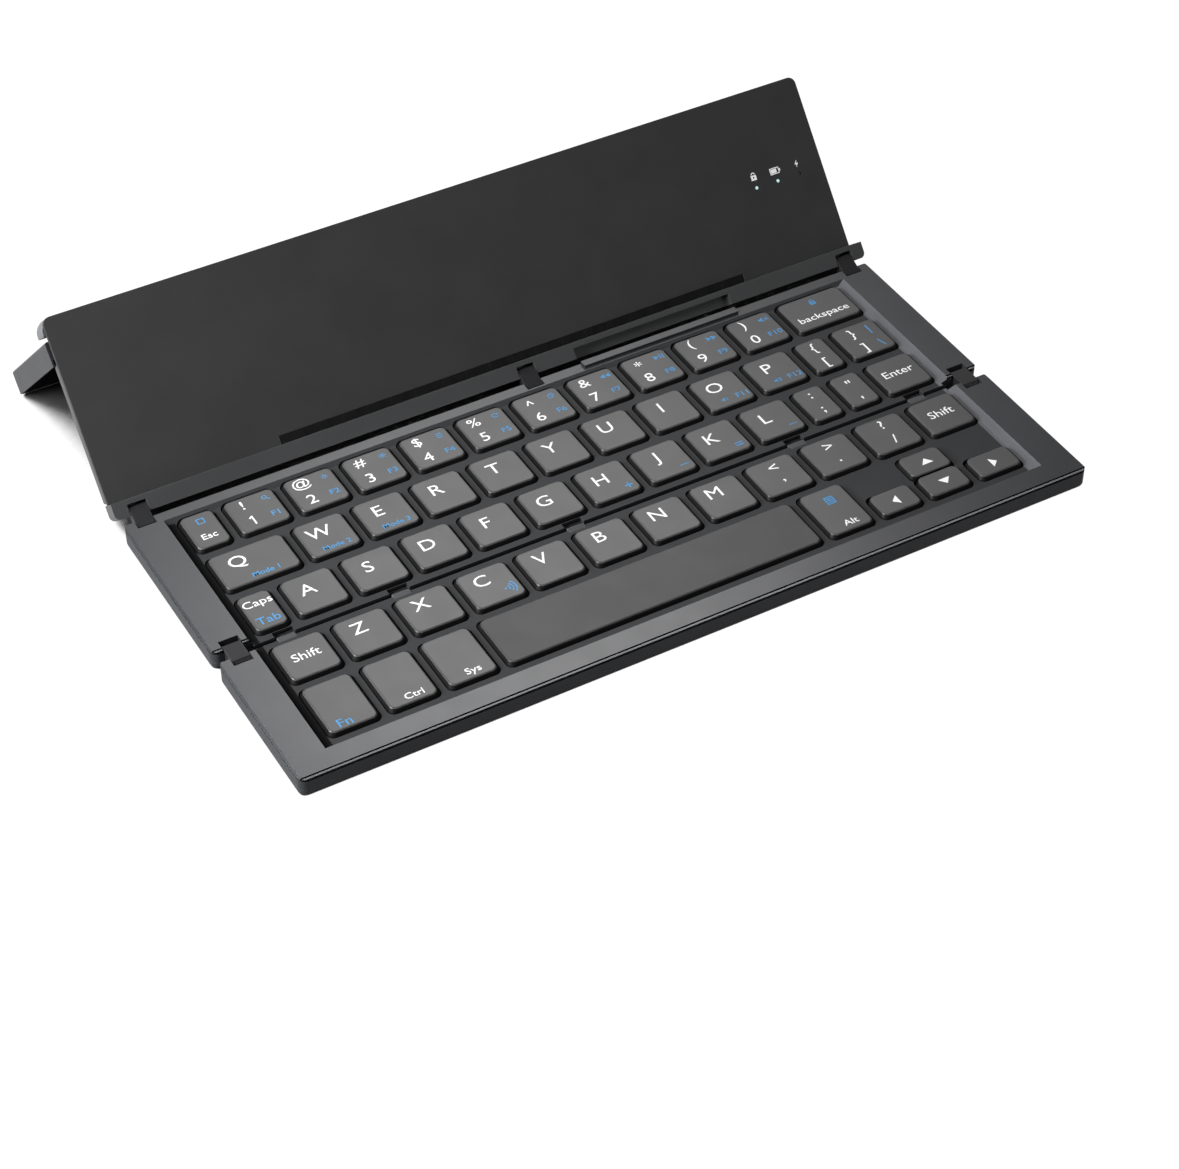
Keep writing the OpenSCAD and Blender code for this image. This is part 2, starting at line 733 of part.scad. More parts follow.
module main_board() {
  y0 = housing_high_y + housing_wall + 0.3;
  x0 = -lid_x + board_in_left;
  x1 = plate_x - socket_len - 0.4;
  socket_end_x = lid_x - board_in_right;
  color([0.1, 0.35, 0.2]) lid_open()
    translate([0, 0, plate_back_z + 0.3]) linear_extrude(board_t) {
      translate([x0, y0]) square([x1 - x0, board_w]);
      translate([socket_end_x, y0]) square([x1 - socket_end_x, port_y + 4 - y0]);
    }
}

module charge_socket() {
  gap = 0.15;
  skin = 0.45;
  x0 = plate_x - socket_len - 0.1;
  color("silver") lid_open()
    difference() {
      translate([x0, port_y - port_w / 2 + gap, port_z - port_h / 2 + gap])
        cube([socket_len, port_w - 2 * gap, port_h - 2 * gap]);
      translate([x0 + 1.5, port_y - port_w / 2 + gap + skin, port_z - port_h / 2 + gap + skin])
        cube([socket_len, port_w - 2 * gap - 2 * skin, port_h - 2 * gap - 2 * skin]);
    }
}

module phone_ledge() {
  color([0.08, 0.08, 0.08]) lid_open()
    translate([ledge_left + 0.2, ledge_y - ledge_w / 2 + 0.1, plate_z + 0.1])
      cube([ledge_right - ledge_left - 0.4, ledge_w - 0.2, ledge_sink - 0.1]);
}

module indicator_lenses() {
  color([0.9, 0.95, 1]) lid_open()
    for (x = indicator_x)
      translate([x, indicator_y, plate_z + 0.05])
        cylinder(r = indicator_r - 0.05, h = plate_t + 0.2);
}

module lid_magnets() {
  color("silver") lid_open()
    for (x = [-magnet_x, magnet_x])
      translate([x, folded_magnet_y, plate_back_z]) cylinder(r = magnet_r, h = 1);
}

// ---- kickstand, drawn shut and swung open about its pins

module stand_open_place() {
  lid_open() translate([0, pivot_y, pivot_z]) rotate([stand_open, 0, 0])
    translate([0, -pivot_y, -pivot_z]) children();
}

// Outside of the shell: a tray with round corners at the free edge and chamfered top edges
module shell_block() {
  c = edge_chamfer * sqrt(2);
  y0 = pivot_y - pivot_reach;
  difference() {
    translate([0, 0, wall_low_z]) linear_extrude(shell_top_z - wall_low_z)
      intersection() {
        round_box(-lid_x, y0 - 3 * corner_r, lid_x, rear_y, corner_r);
        translate([-lid_x, y0]) square([2 * lid_x, rear_y - y0]);
      }
    translate([0, rear_y, shell_top_z]) rotate([45, 0, 0])
      cube([2 * lid_x + 2, c, c], center = true);
    for (x = [-lid_x, lid_x])
      translate([x, 0, shell_top_z]) rotate([0, 45, 0])
        cube([c, 3 * rear_d, c], center = true);
  }
}

module kickstand() {
  inner_x = lid_x - shell_side;
  y0 = pivot_y - pivot_reach;
  seam_slots = [[lid_x - 27.4, lid_x - 14.4], [-11, 7.4], [-lid_x + 13.4, -lid_x + 24.4]];
  color([0.5, 0.5, 0.52]) stand_open_place()
    difference() {
      union() {
        difference() {
          shell_block();
          translate([-inner_x, y0 - 1, wall_low_z - 1])
            cube([2 * inner_x, rear_y - shell_t - y0 + 1, shell_top_z - shell_t - wall_low_z + 1]);
        }
        for (s = [-1, 1])
          translate([s * (inner_x - boss_t / 2), pivot_y, shell_top_z - shell_t - boss_r])
            cube([boss_t + 0.2, 2 * boss_r, 2 * boss_r + 0.2], center = true);
      }
      for (s = [-1, 1])
        translate([s * (lid_x - groove_step_len / 2 + 1), y0, plate_z])
          cube([groove_step_len + 2, 2 * groove_step, 3 * lid_t], center = true);
      for (s = seam_slots)
        translate([s[0], rear_y - 3, wall_low_z - 1]) cube([s[1] - s[0], 6, 1.7]);
      translate([lid_x, port_y, port_z]) cube([4, port_w + 0.3, port_h + 0.3], center = true);
      translate([0, pivot_y, pivot_z]) rod(stand_pin_r, 2 * (lid_x - 0.25));
    }
}

module kickstand_pins() {
  pin_len = shell_side - 0.25 + boss_t + 0.3 + ear_t;
  color("silver") stand_open_place()
    for (s = [-1, 1])
      translate([s * (lid_x - 0.25 - pin_len / 2), pivot_y, pivot_z]) rod(stand_pin_r, pin_len);
}

// ---- key caps

// One cap. The bottom spreads by the skirt, less on the side that faces another half key.
module cap(w, d, part) {
  $fn = 16;
  corner = 1.6;
  rear_skirt = part == -1 ? facing_skirt : key_skirt;
  front_skirt = part == 1 ? facing_skirt : key_skirt;
  hollow_h = cap_ceiling_z - key_low_z + 1;
  difference() {
    hull() {
      translate([0, (rear_skirt - front_skirt) / 2, key_low_z])
        linear_extrude(deck_z - 0.4 - key_low_z)
          round_rect(w + 2 * key_skirt, d + rear_skirt + front_skirt, corner + 0.2);
      translate([0, 0, key_top_z - 0.1]) linear_extrude(0.1) round_rect(w, d, corner);
    }
    translate([0, 0, cap_ceiling_z - hollow_h / 2])
      cube([w - 2 * key_wall + 0.4, d - 2 * key_wall + 0.4, hollow_h], center = true);
  }
}

module caps(keys) {
  color([0.42, 0.42, 0.41])
    for (k = keys)
      translate([cap_x(k[0], k[1]), cap_y(k), 0]) cap(cap_w(k[0], k[1]), cap_d(k), k[2]);
}

module key_esc() {
  caps(ESC);
}

module keys_digits_left() {
  caps(DIGITS_LEFT);
}

module keys_digits_right() {
  caps(DIGITS_RIGHT);
}

module key_backspace() {
  caps(BACKSPACE);
}

module key_q() {
  caps(KEY_Q);
}

module keys_wer() {
  caps(LETTERS_WER);
}

module keys_tyu() {
  caps(LETTERS_TYU);
}

module keys_iop() {
  caps(LETTERS_IOP);
}

module key_bracket_left() {
  caps(BRACKET_LEFT);
}

module key_bracket_right() {
  caps(BRACKET_RIGHT);
}

module key_caps_lock() {
  caps(CAPS);
}

module keys_asd() {
  caps(LETTERS_ASD);
}

module keys_fgh() {
  caps(LETTERS_FGH);
}

module keys_jkl() {
  caps(LETTERS_JKL);
}

module key_semicolon() {
  caps(SEMICOLON);
}

module key_quote() {
  caps(QUOTE);
}

module key_enter() {
  caps(ENTER);
}

module key_shift_left() {
  caps(SHIFT_LEFT);
}

module keys_zxcvb() {
  caps(LETTERS_ZXCVB);
}

module keys_nm() {
  caps(LETTERS_NM);
}

module key_shift_right() {
  caps(SHIFT_RIGHT);
}

module key_fn() {
  caps(KEY_FN);
}

module key_ctrl() {
  caps(CTRL);
}

module key_system() {
  caps(SYSTEM);
}

module key_space() {
  caps(SPACE);
}

module key_alt() {
  caps(ALT);
}

module key_arrow_left() {
  caps(ARROW_LEFT);
}

module key_arrow_up() {
  caps(ARROW_UP);
}

module key_arrow_down() {
  caps(ARROW_DOWN);
}

module key_arrow_right() {
  caps(ARROW_RIGHT);
}

rear_base();
rear_deck();
rear_board();
rear_dome_mat();
rear_feet();
front_base();
front_deck();
front_board();
front_dome_mat();
front_feet();
fold_bumpers();
front_magnets();
front_links();
front_link_pins();
front_flex();
lid_links();
lid_link_pins();
lid_flex();
lid_plate();
lid_spine();
lid_strip();
core_housing();
battery();
main_board();
charge_socket();
phone_ledge();
indicator_lenses();
lid_magnets();
kickstand();
kickstand_pins();
key_esc();
keys_digits_left();
keys_digits_right();
key_backspace();
key_q();
keys_wer();
keys_tyu();
keys_iop();
key_bracket_left();
key_bracket_right();
key_caps_lock();
keys_asd();
keys_fgh();
keys_jkl();
key_semicolon();
key_quote();
key_enter();
key_shift_left();
keys_zxcvb();
keys_nm();
key_shift_right();
key_fn();
key_ctrl();
key_system();
key_space();
key_alt();
key_arrow_left();
key_arrow_up();
key_arrow_down();
key_arrow_right();
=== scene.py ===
"""Dresses a folding keyboard: its caps and their print, the panels, the hinge links, the lid and the kickstand."""

import logging
import math
from collections.abc import Callable, Iterator, Sequence
from contextlib import contextmanager
from dataclasses import dataclass, field
from enum import Enum

import bmesh
import bpy
from mathutils import Matrix, Vector


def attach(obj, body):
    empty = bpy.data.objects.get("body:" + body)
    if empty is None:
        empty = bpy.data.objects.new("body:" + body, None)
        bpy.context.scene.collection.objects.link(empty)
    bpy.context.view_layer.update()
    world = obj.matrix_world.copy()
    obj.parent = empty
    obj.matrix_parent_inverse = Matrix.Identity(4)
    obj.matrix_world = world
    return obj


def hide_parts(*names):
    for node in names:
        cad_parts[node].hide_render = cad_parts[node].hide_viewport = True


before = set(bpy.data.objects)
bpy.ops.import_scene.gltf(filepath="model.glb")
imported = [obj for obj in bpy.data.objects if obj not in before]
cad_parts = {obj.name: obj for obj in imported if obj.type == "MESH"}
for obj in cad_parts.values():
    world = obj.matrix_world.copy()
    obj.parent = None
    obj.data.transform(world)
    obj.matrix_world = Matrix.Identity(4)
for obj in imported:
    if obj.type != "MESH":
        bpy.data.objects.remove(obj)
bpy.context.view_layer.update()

MM = 0.001
FACING = 0.9  # least share of a normal along an axis for a face that looks along it
SLANTED = 0.3  # least share of a normal along an axis for a face that leans that way
SHARP = 32.0  # least turn, in degrees, of an edge that is softened
NEAR = 0.05  # how far off, in millimetres, a place still counts as the same
LIFT = 0.005  # millimetres of air under the print
LOG = logging.getLogger("keyboard")
Piece = bpy.types.Object
Socket = bpy.types.NodeSocket
Value = float | Sequence[float] | Socket
Loop = list[tuple[float, float]]


# ---------------------------------------------------------------- choices


class Part(Enum):
    """Which share of its row a cap takes."""

    FULL = 0
    REAR = 1
    FRONT = -1


class Ink(Enum):
    """The two inks of the key print."""

    WHITE = 0
    BLUE = 1


class Grain(Enum):
    """How the skin of a finish is textured."""

    MOULDED = "moulded"
    BRUSHED = "brushed"
    RIBBED = "ribbed"


class Skin(Enum):
    """The finishes of a deck, by the index of their material."""

    PANEL = 0
    WELL = 1
    # painted light: the right slope of the well and the floor strip beside it are painted lighter than the panel
    SLOPE = 2
    COVER = 3
    # dark seams along the front edge, and painted shade on the left strip of the well floor
    SEAM_AND_SHADE = 4
    # painted highlight on the upper band of the front chamfer
    BEAD = 5


class Sign(Enum):
    """Signs that are drawn, because the letters don't hold them."""

    SQUARE = "square"
    SEARCH = "search"
    DIM = "dim"
    BRIGHT = "bright"
    LIST = "list"
    TURN = "turn"
    SHEETS = "sheets"
    BACK = "back"
    PLAY = "play"
    NEXT = "next"
    MUTE = "mute"
    QUIET = "quiet"
    LOUD = "loud"
    LOCK = "lock"
    MENU = "menu"
    WAVES = "waves"
    UP = "up"
    DOWN = "down"
    LEFT = "left"
    RIGHT = "right"
    BATTERY = "battery"
    BOLT = "bolt"
    ONE = "one"


# ---------------------------------------------------------------- modelling moves


def pick(*pieces: Piece) -> None:
    """Select only these objects, the first of them active.

    Args:
        pieces: the objects to select.
    """
    bpy.ops.object.select_all(action="DESELECT")
    for piece in pieces:
        piece.select_set(True)
    if pieces:
        bpy.context.view_layer.objects.active = pieces[0]


@contextmanager
def editing(piece: Piece) -> Iterator[None]:
    """Hold one object in edit mode.

    Args:
        piece: the object to edit.

    Returns:
        A context in which mesh operators act on the object.
    """
    pick(piece)
    bpy.ops.object.mode_set(mode="EDIT")
    yield
    bpy.ops.object.mode_set(mode="OBJECT")


def pick_where(piece: Piece, kind: str, wanted: Callable[[bmesh.types.BMFace | bmesh.types.BMEdge], bool]) -> int:
    """Select the faces or the edges that are wanted, and nothing else.

    Args:
        piece: the object in edit mode.
        kind: FACE or EDGE.
        wanted: true for one to select.

    Returns:
        How many are selected.
    """
    bpy.ops.mesh.select_mode(type=kind)
    bpy.ops.mesh.select_all(action="DESELECT")
    mesh = bmesh.from_edit_mesh(piece.data)
    found = 0
    for item in mesh.faces if kind == "FACE" else mesh.edges:
        chosen = wanted(item)
        item.select_set(chosen)
        found += chosen
    bmesh.update_edit_mesh(piece.data)
    return found


def pick_faces(piece: Piece, wanted: Callable[[Vector, Vector], bool]) -> int:
    """Select faces by their middle, in millimetres, and their normal, and count them."""
    return pick_where(piece, "FACE", lambda face: wanted(face.calc_center_median() / MM, face.normal))


def pick_edges(piece: Piece, wanted: Callable[[Vector, Vector], bool]) -> int:
    """Select edges by their two ends, in millimetres, and count them."""
    return pick_where(piece, "EDGE", lambda edge: wanted(*[end.co / MM for end in edge.verts]))


def extrude(x: float = 0.0, y: float = 0.0, z: float = 0.0) -> None:
    """Extrude the selected faces by a move in millimetres."""
    bpy.ops.mesh.extrude_region_move(TRANSFORM_OT_translate={"value": (x * MM, y * MM, z * MM)})


def sink(depth: float) -> None:
    """Extrude the selected faces inward, along their normals, by a depth in millimetres."""
    bpy.ops.mesh.extrude_region_shrink_fatten(TRANSFORM_OT_shrink_fatten={"value": -depth * MM})


def bevel(width: float, segments: int) -> None:
    """Round the selected edges by a width in millimetres, with some faces across."""
    bpy.ops.mesh.bevel(offset=width * MM, segments=segments, affect="EDGES", clamp_overlap=True)


def settle(piece: Piece) -> None:
    """Put an object's place, turn and scale into its mesh.

    Args:
        piece: the object to settle.
    """
    pick(piece)
    bpy.ops.object.transform_apply(location=True, rotation=True, scale=True)


def just_added(name: str) -> Piece:
    """Name the object just added and put its place into its mesh.

    Args:
        name: the object's name.

    Returns:
        The object.
    """
    piece = bpy.context.active_object
    piece.name = name
    settle(piece)
    return piece


def block(name: str, low: Sequence[float], high: Sequence[float]) -> Piece:
    """Add a block between two corners.

    Args:
        name: name of the new object.
        low: lowest corner in millimetres.
        high: highest corner in millimetres.

    Returns:
        The block, its place in its mesh.
    """
    pick()
    middle = [(a + b) / 2 * MM for a, b in zip(low, high)]
    bpy.ops.mesh.primitive_cube_add(size=1, location=middle, scale=[(b - a) * MM for a, b in zip(low, high)])
    return just_added(name)


def disc(name: str, middle: Sequence[float], radius: float, height: float, sides: int) -> Piece:
    """Add an upright disc.

    Args:
        name: name of the new object.
        middle: its middle in millimetres.
        radius: radius in millimetres.
        height: height in millimetres.
        sides: faces round it.

    Returns:
        The disc, its place in its mesh.
    """
    pick()
    bpy.ops.mesh.primitive_cylinder_add(
        vertices=sides, radius=radius * MM, depth=height * MM, location=[m * MM for m in middle]
    )
    return just_added(name)


def put_in_scene(name: str, data: bpy.types.ID, place: Sequence[float] = (0, 0, 0)) -> Piece:
    """Add an object to the scene.

    Args:
        name: name of the object.
        data: the curve, lamp or camera that it shows.
        place: where it stands, in metres.

    Returns:
        The object.
    """
    piece = bpy.data.objects.new(name, data)
    bpy.context.scene.collection.objects.link(piece)
    piece.location = place
    return piece


def copy_of(source: Piece, name: str, move: Sequence[float] = (0, 0, 0)) -> Piece:
    """Copy an object with a mesh of its own.

    Args:
        source: the object to copy.
        name: name of the copy.
        move: move of the copy in millimetres.

    Returns:
        The copy, its place in its mesh.
    """
    piece = source.copy()
    piece.data = source.data.copy()
    piece.name = name
    for key in [k for k in piece.keys() if k.startswith("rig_")]:
        del piece[key]
    piece.parent = None
    piece.hide_render = piece.hide_viewport = False
    bpy.context.scene.collection.objects.link(piece)
    piece.location = [m * MM for m in move]
    settle(piece)
    return piece


def join(name: str, pieces: Sequence[Piece]) -> Piece:
    """Make several objects one.

    Args:
        name: name of the joined object.
        pieces: the objects to join.

    Returns:
        The joined object.
    """
    pick(*pieces)
    if len(pieces) > 1:
        bpy.ops.object.join()
    piece = bpy.context.active_object
    piece.name = name
    piece.data.name = name
    return piece


def shade(piece: Piece, angle: float = 35.0) -> None:
    """Shade an object smooth up to an angle, with its flat faces kept flat.

    Args:
        piece: the object to shade.
        angle: sharpest smooth angle in degrees.
    """
    pick(piece)
    bpy.ops.object.shade_smooth_by_angle(angle=math.radians(angle))
    piece.modifiers.new("flats", "WEIGHTED_NORMAL").keep_sharp = True
    bpy.ops.object.modifier_apply(modifier="flats")


def softened(node: str, name: str, width: float, segments: int = 3) -> Piece:
    """Copy a solid, merge its faces and soften its edges by a width in millimetres."""
    return soften(merged(node, name), width, segments)


def merged(node: str, name: str) -> Piece:
    """Copy a solid and merge its loose triangles into flat faces.

    Args:
        node: the solid to copy.
        name: name of the copy.

    Returns:
        The merged copy.
    """
    piece = copy_of(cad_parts[node], name)
    with editing(piece):
        bpy.ops.mesh.select_all(action="SELECT")
        bpy.ops.mesh.remove_doubles(threshold=0.002 * MM)
        bpy.ops.mesh.dissolve_limited(angle_limit=math.radians(0.5))
    return piece


def soften(piece: Piece, width: float, segments: int) -> Piece:
    """Bevel the sharp edges of an object.

    Args:
        piece: the object to soften.
        width: width of the softened edges in millimetres.
        segments: faces across an edge.

    Returns:
        The same object.
    """
    edge = piece.modifiers.new("soft_edges", "BEVEL")
    edge.width = width * MM
    edge.segments = segments
    edge.limit_method = "ANGLE"
    edge.angle_limit = math.radians(SHARP)
    pick(piece)
    bpy.ops.object.modifier_apply(modifier="soft_edges")
    shade(piece)
    return piece


def coat(piece: Piece, *materials: bpy.types.Material) -> Piece:
    """Give an object its materials.

    Args:
        piece: the object to paint.
        materials: its materials in the order of its slots.

    Returns:
        The same object.
    """
    kept = [p.material_index for p in piece.data.polygons]
    piece.data.materials.clear()
    for material in materials:
        piece.data.materials.append(material)
    if len(materials) > 1:
        for polygon, index in zip(piece.data.polygons, kept):
            polygon.material_index = index
    return piece


def hand_over(piece: Piece, body: str, slot: str, *nodes: str) -> None:
    """Let an object ride on its body and stand for its solids.

    Args:
        piece: the finished object.
        body: the body that carries it.
        slot: not used.
        nodes: the solids that it stands for.
    """
    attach(piece, body)
    if nodes:
        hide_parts(*nodes)
    LOG.info("%s rides on %s, %d faces", piece.name, body, len(piece.data.polygons))


def dress(node: str, name: str, edge: float, material: bpy.types.Material, body: str, slot: str) -> None:
    """Put a copy with softened edges, of a width in millimetres, and one material in a solid's place."""
    hand_over(coat(softened(node, name, edge), material), body, slot, node)


def spread_out(source: Piece, name: str, columns: Sequence[float], rows: Sequence[float], z: float = 0.0) -> Piece:
    """Copy an object to every crossing of columns and rows, and remove the first one.

    Args:
        source: the object to copy.
        name: name of the joined copies.
        columns: places along X in millimetres.
        rows: places along Y in millimetres.
        z: height of the copies in millimetres.

    Returns:
        The copies as one object.
    """
    piece = join(name, [copy_of(source, "copy", (x, y, z)) for x in columns for y in rows])
    bpy.data.objects.remove(source)
    return piece


# ---------------------------------------------------------------- finishes


def linear(level: float) -> float:
    """Turn a screen level of 0 to 255 into a linear one."""
    share = level / 255
    return share / 12.92 if share <= 0.04045 else ((share + 0.055) / 1.055) ** 2.4


class Recipe:
    """The node tree of one material or of the world, with the moves that the finishes share."""

    MIDDLE = (0.3, 0.7)  # where most values of a noise lie
    BENT = (0.995, 0.8)  # likeness of the rounded and the flat normal, off an edge and on one

    def __init__(self, owner: bpy.types.Material | bpy.types.World, shader: str = "Principled BSDF") -> None:
        """Start a node tree.

        Args:
            owner: what the tree belongs to.
            shader: name of its shader node.
        """
        owner.use_nodes = True
        self.owner = owner
        self.tree = owner.node_tree
        self.shader = self.tree.nodes[shader]
        self.places = self.node("TexCoord").outputs

    def feed(self, node: bpy.types.Node, inputs: dict[str | int, Value]) -> None:
        """Fill the inputs of a node.

        Args:
            node: the node.
            inputs: a value, or a socket to link, for each input.
        """
        for name, value in inputs.items():
            if isinstance(value, Socket):
                self.tree.links.new(value, node.inputs[name])
            else:
                node.inputs[name].default_value = value

    def node(self, kind: str, inputs: dict[str | int, Value] | None = None, **settings: str | int) -> bpy.types.Node:
        """Add a node.

        Args:
            kind: its kind.
            inputs: a value, or a socket to link, for each input.
            settings: its properties.

        Returns:
            The node.
        """
        node = self.tree.nodes.new(f"ShaderNode{kind}")
        for name, value in settings.items():
            setattr(node, name, value)
        self.feed(node, inputs or {})
        return node

    def noise(self, size: float, detail: float, stretch: Sequence[float] = (1, 1, 1)) -> Socket:
        """Add a noise from 0 to 1, its blots a size in millimetres, with octaves of detail, stretched by axis."""
        place = self.node("Mapping", {"Scale": stretch, "Vector": self.places["Object"]}).outputs[0]
        return self.node("TexNoise", {"Scale": 1 / (size * MM), "Detail": detail, "Vector": place}).outputs[0]

    def ribs(self, pitch: float) -> Socket:
        """Add straight ribs across X, as heights from 0 to 1, a pitch in millimetres apart."""
        inputs = {"Scale": 2 * math.pi / (20 * pitch * MM), "Vector": self.places["Object"]}
        return self.node("TexWave", inputs, bands_direction="X").outputs["Fac"]

    def ranged(self, source: Socket, start: float, end: float, low: float, high: float) -> Socket:
        """Map the range from start to end onto the one from low to high, and cut off the rest."""
        inputs = {"Value": source, "From Min": start, "From Max": end, "To Min": low, "To Max": high}
        return self.node("MapRange", inputs).outputs[0]

    def spread(self, source: Socket, low: float, high: float) -> Socket:
        """Spread the middle of a noise between two values."""
        return self.ranged(source, *self.MIDDLE, low, high)

    def edges(self, radius: float, strength: float) -> Socket:
        """Find the edges of the object.

        Args:
            radius: reach of an edge in millimetres.
            strength: value on a sharp edge.

        Returns:
            A mask that is 0 on flat faces.
        """
        rounded = self.node("Bevel", {"Radius": radius * MM}, samples=8).outputs[0]
        flat = self.node("NewGeometry").outputs["Normal"]
        likeness = self.node("VectorMath", {0: rounded, 1: flat}, operation="DOT_PRODUCT").outputs["Value"]
        return self.ranged(likeness, *self.BENT, 0.0, strength)

    def mix(self, share: Socket, first: Sequence[float] | Socket, second: Sequence[float]) -> Socket:
        """Mix two colours, the first one a linear colour or a socket, by the share of the second."""
        start = first if isinstance(first, Socket) else (*first, 1)
        return self.node("Mix", {"Factor": share, "A": start, "B": (*second, 1)}, data_type="RGBA").outputs[2]

    def math(self, operation: str, first: Socket, second: float | Socket) -> Socket:
        """Work out one sum of two values."""
        return self.node("Math", {0: first, 1: second}, operation=operation).outputs[0]

    def bump(self, height: Socket, depth: float) -> Socket:
        """Make a normal that follows a height texture of a depth in millimetres."""
        return self.node("Bump", {"Strength": 1, "Distance": depth * MM, "Height": height}).outputs[0]


BLOT_SIZE, SMEAR_SIZE = 16, 7  # millimetres
PIT_SHARE, PIT_TONE = 0.12, 0.6  # share and tone of the colour in the pits of the skin
WORN_AND_LIT_TONE, WORN_AND_LIT_LIFT = 1.4, 0.25  # tone of an edge lightened by wear and by a painted highlight, and what is added to it
SMEAR = (0.97, 1.03)  # least and most of the roughness


@dataclass(frozen=True)
class Finish:
    """One finish: its colour, its gloss, its grain, and its wear with a painted edge highlight."""

    name: str
    colour: tuple[float, float, float]
    roughness: float = 0.5
    metallic: float = 0.0
    specular: float = 0.5
    grain: Grain = Grain.MOULDED
    grain_size: float = 0.14
    grain_depth: float = 0.012
    mottle: float = 0.07
    # lightening of the edges: partly wear, partly a painted edge highlight
    wear_and_highlight: float = 0.25
    edge: float = 0.3
    # light given off: the lit lens's own, and painted light on the white print
    glow: float = 0.0

    def tone(self, share: float) -> list[float]:
        """Give the finish's linear colour at a share of its brightness."""
        return [min(1.0, linear(level) * share) for level in self.colour]

    def grain_height(self, recipe: Recipe) -> Socket:
        """Make the height of the skin.

        Args:
            recipe: the material being made.

        Returns:
            The height, from 0 to 1.
        """
        if self.grain is Grain.RIBBED:
            return recipe.ribs(self.grain_size)
        stretch = (0.04, 1, 1) if self.grain is Grain.BRUSHED else (1, 1, 1)
        return recipe.noise(self.grain_size, 2, stretch)

    def make(self) -> bpy.types.Material:
        """Make the material.

        Returns:
            The material.
        """
        recipe = Recipe(bpy.data.materials.new(self.name))
        height = self.grain_height(recipe)
        blots = recipe.spread(recipe.noise(BLOT_SIZE, 3), 0, 1)
        colour = recipe.mix(blots, self.tone(1 - self.mottle), self.tone(1 + self.mottle))
        colour = recipe.mix(recipe.spread(height, 0, PIT_SHARE), colour, self.tone(PIT_TONE))
        # edges lightened by wear and by a painted highlight
        worn_and_lit = [level + WORN_AND_LIT_LIFT for level in self.tone(WORN_AND_LIT_TONE)]
        colour = recipe.mix(recipe.edges(self.edge, self.wear_and_highlight), colour, worn_and_lit)
        smears = recipe.noise(SMEAR_SIZE, 2)
        inputs = {
            "Base Color": colour,
            "Roughness": recipe.spread(smears, self.roughness * SMEAR[0], min(1.0, self.roughness * SMEAR[1])),
            "Metallic": self.metallic,
            "Specular IOR Level": self.specular,
            "Normal": recipe.bump(height, self.grain_depth),
        }
        if self.glow:
            inputs |= {"Emission Color": (*self.tone(1), 1), "Emission Strength": self.glow}
        recipe.feed(recipe.shader, inputs)
        return recipe.owner


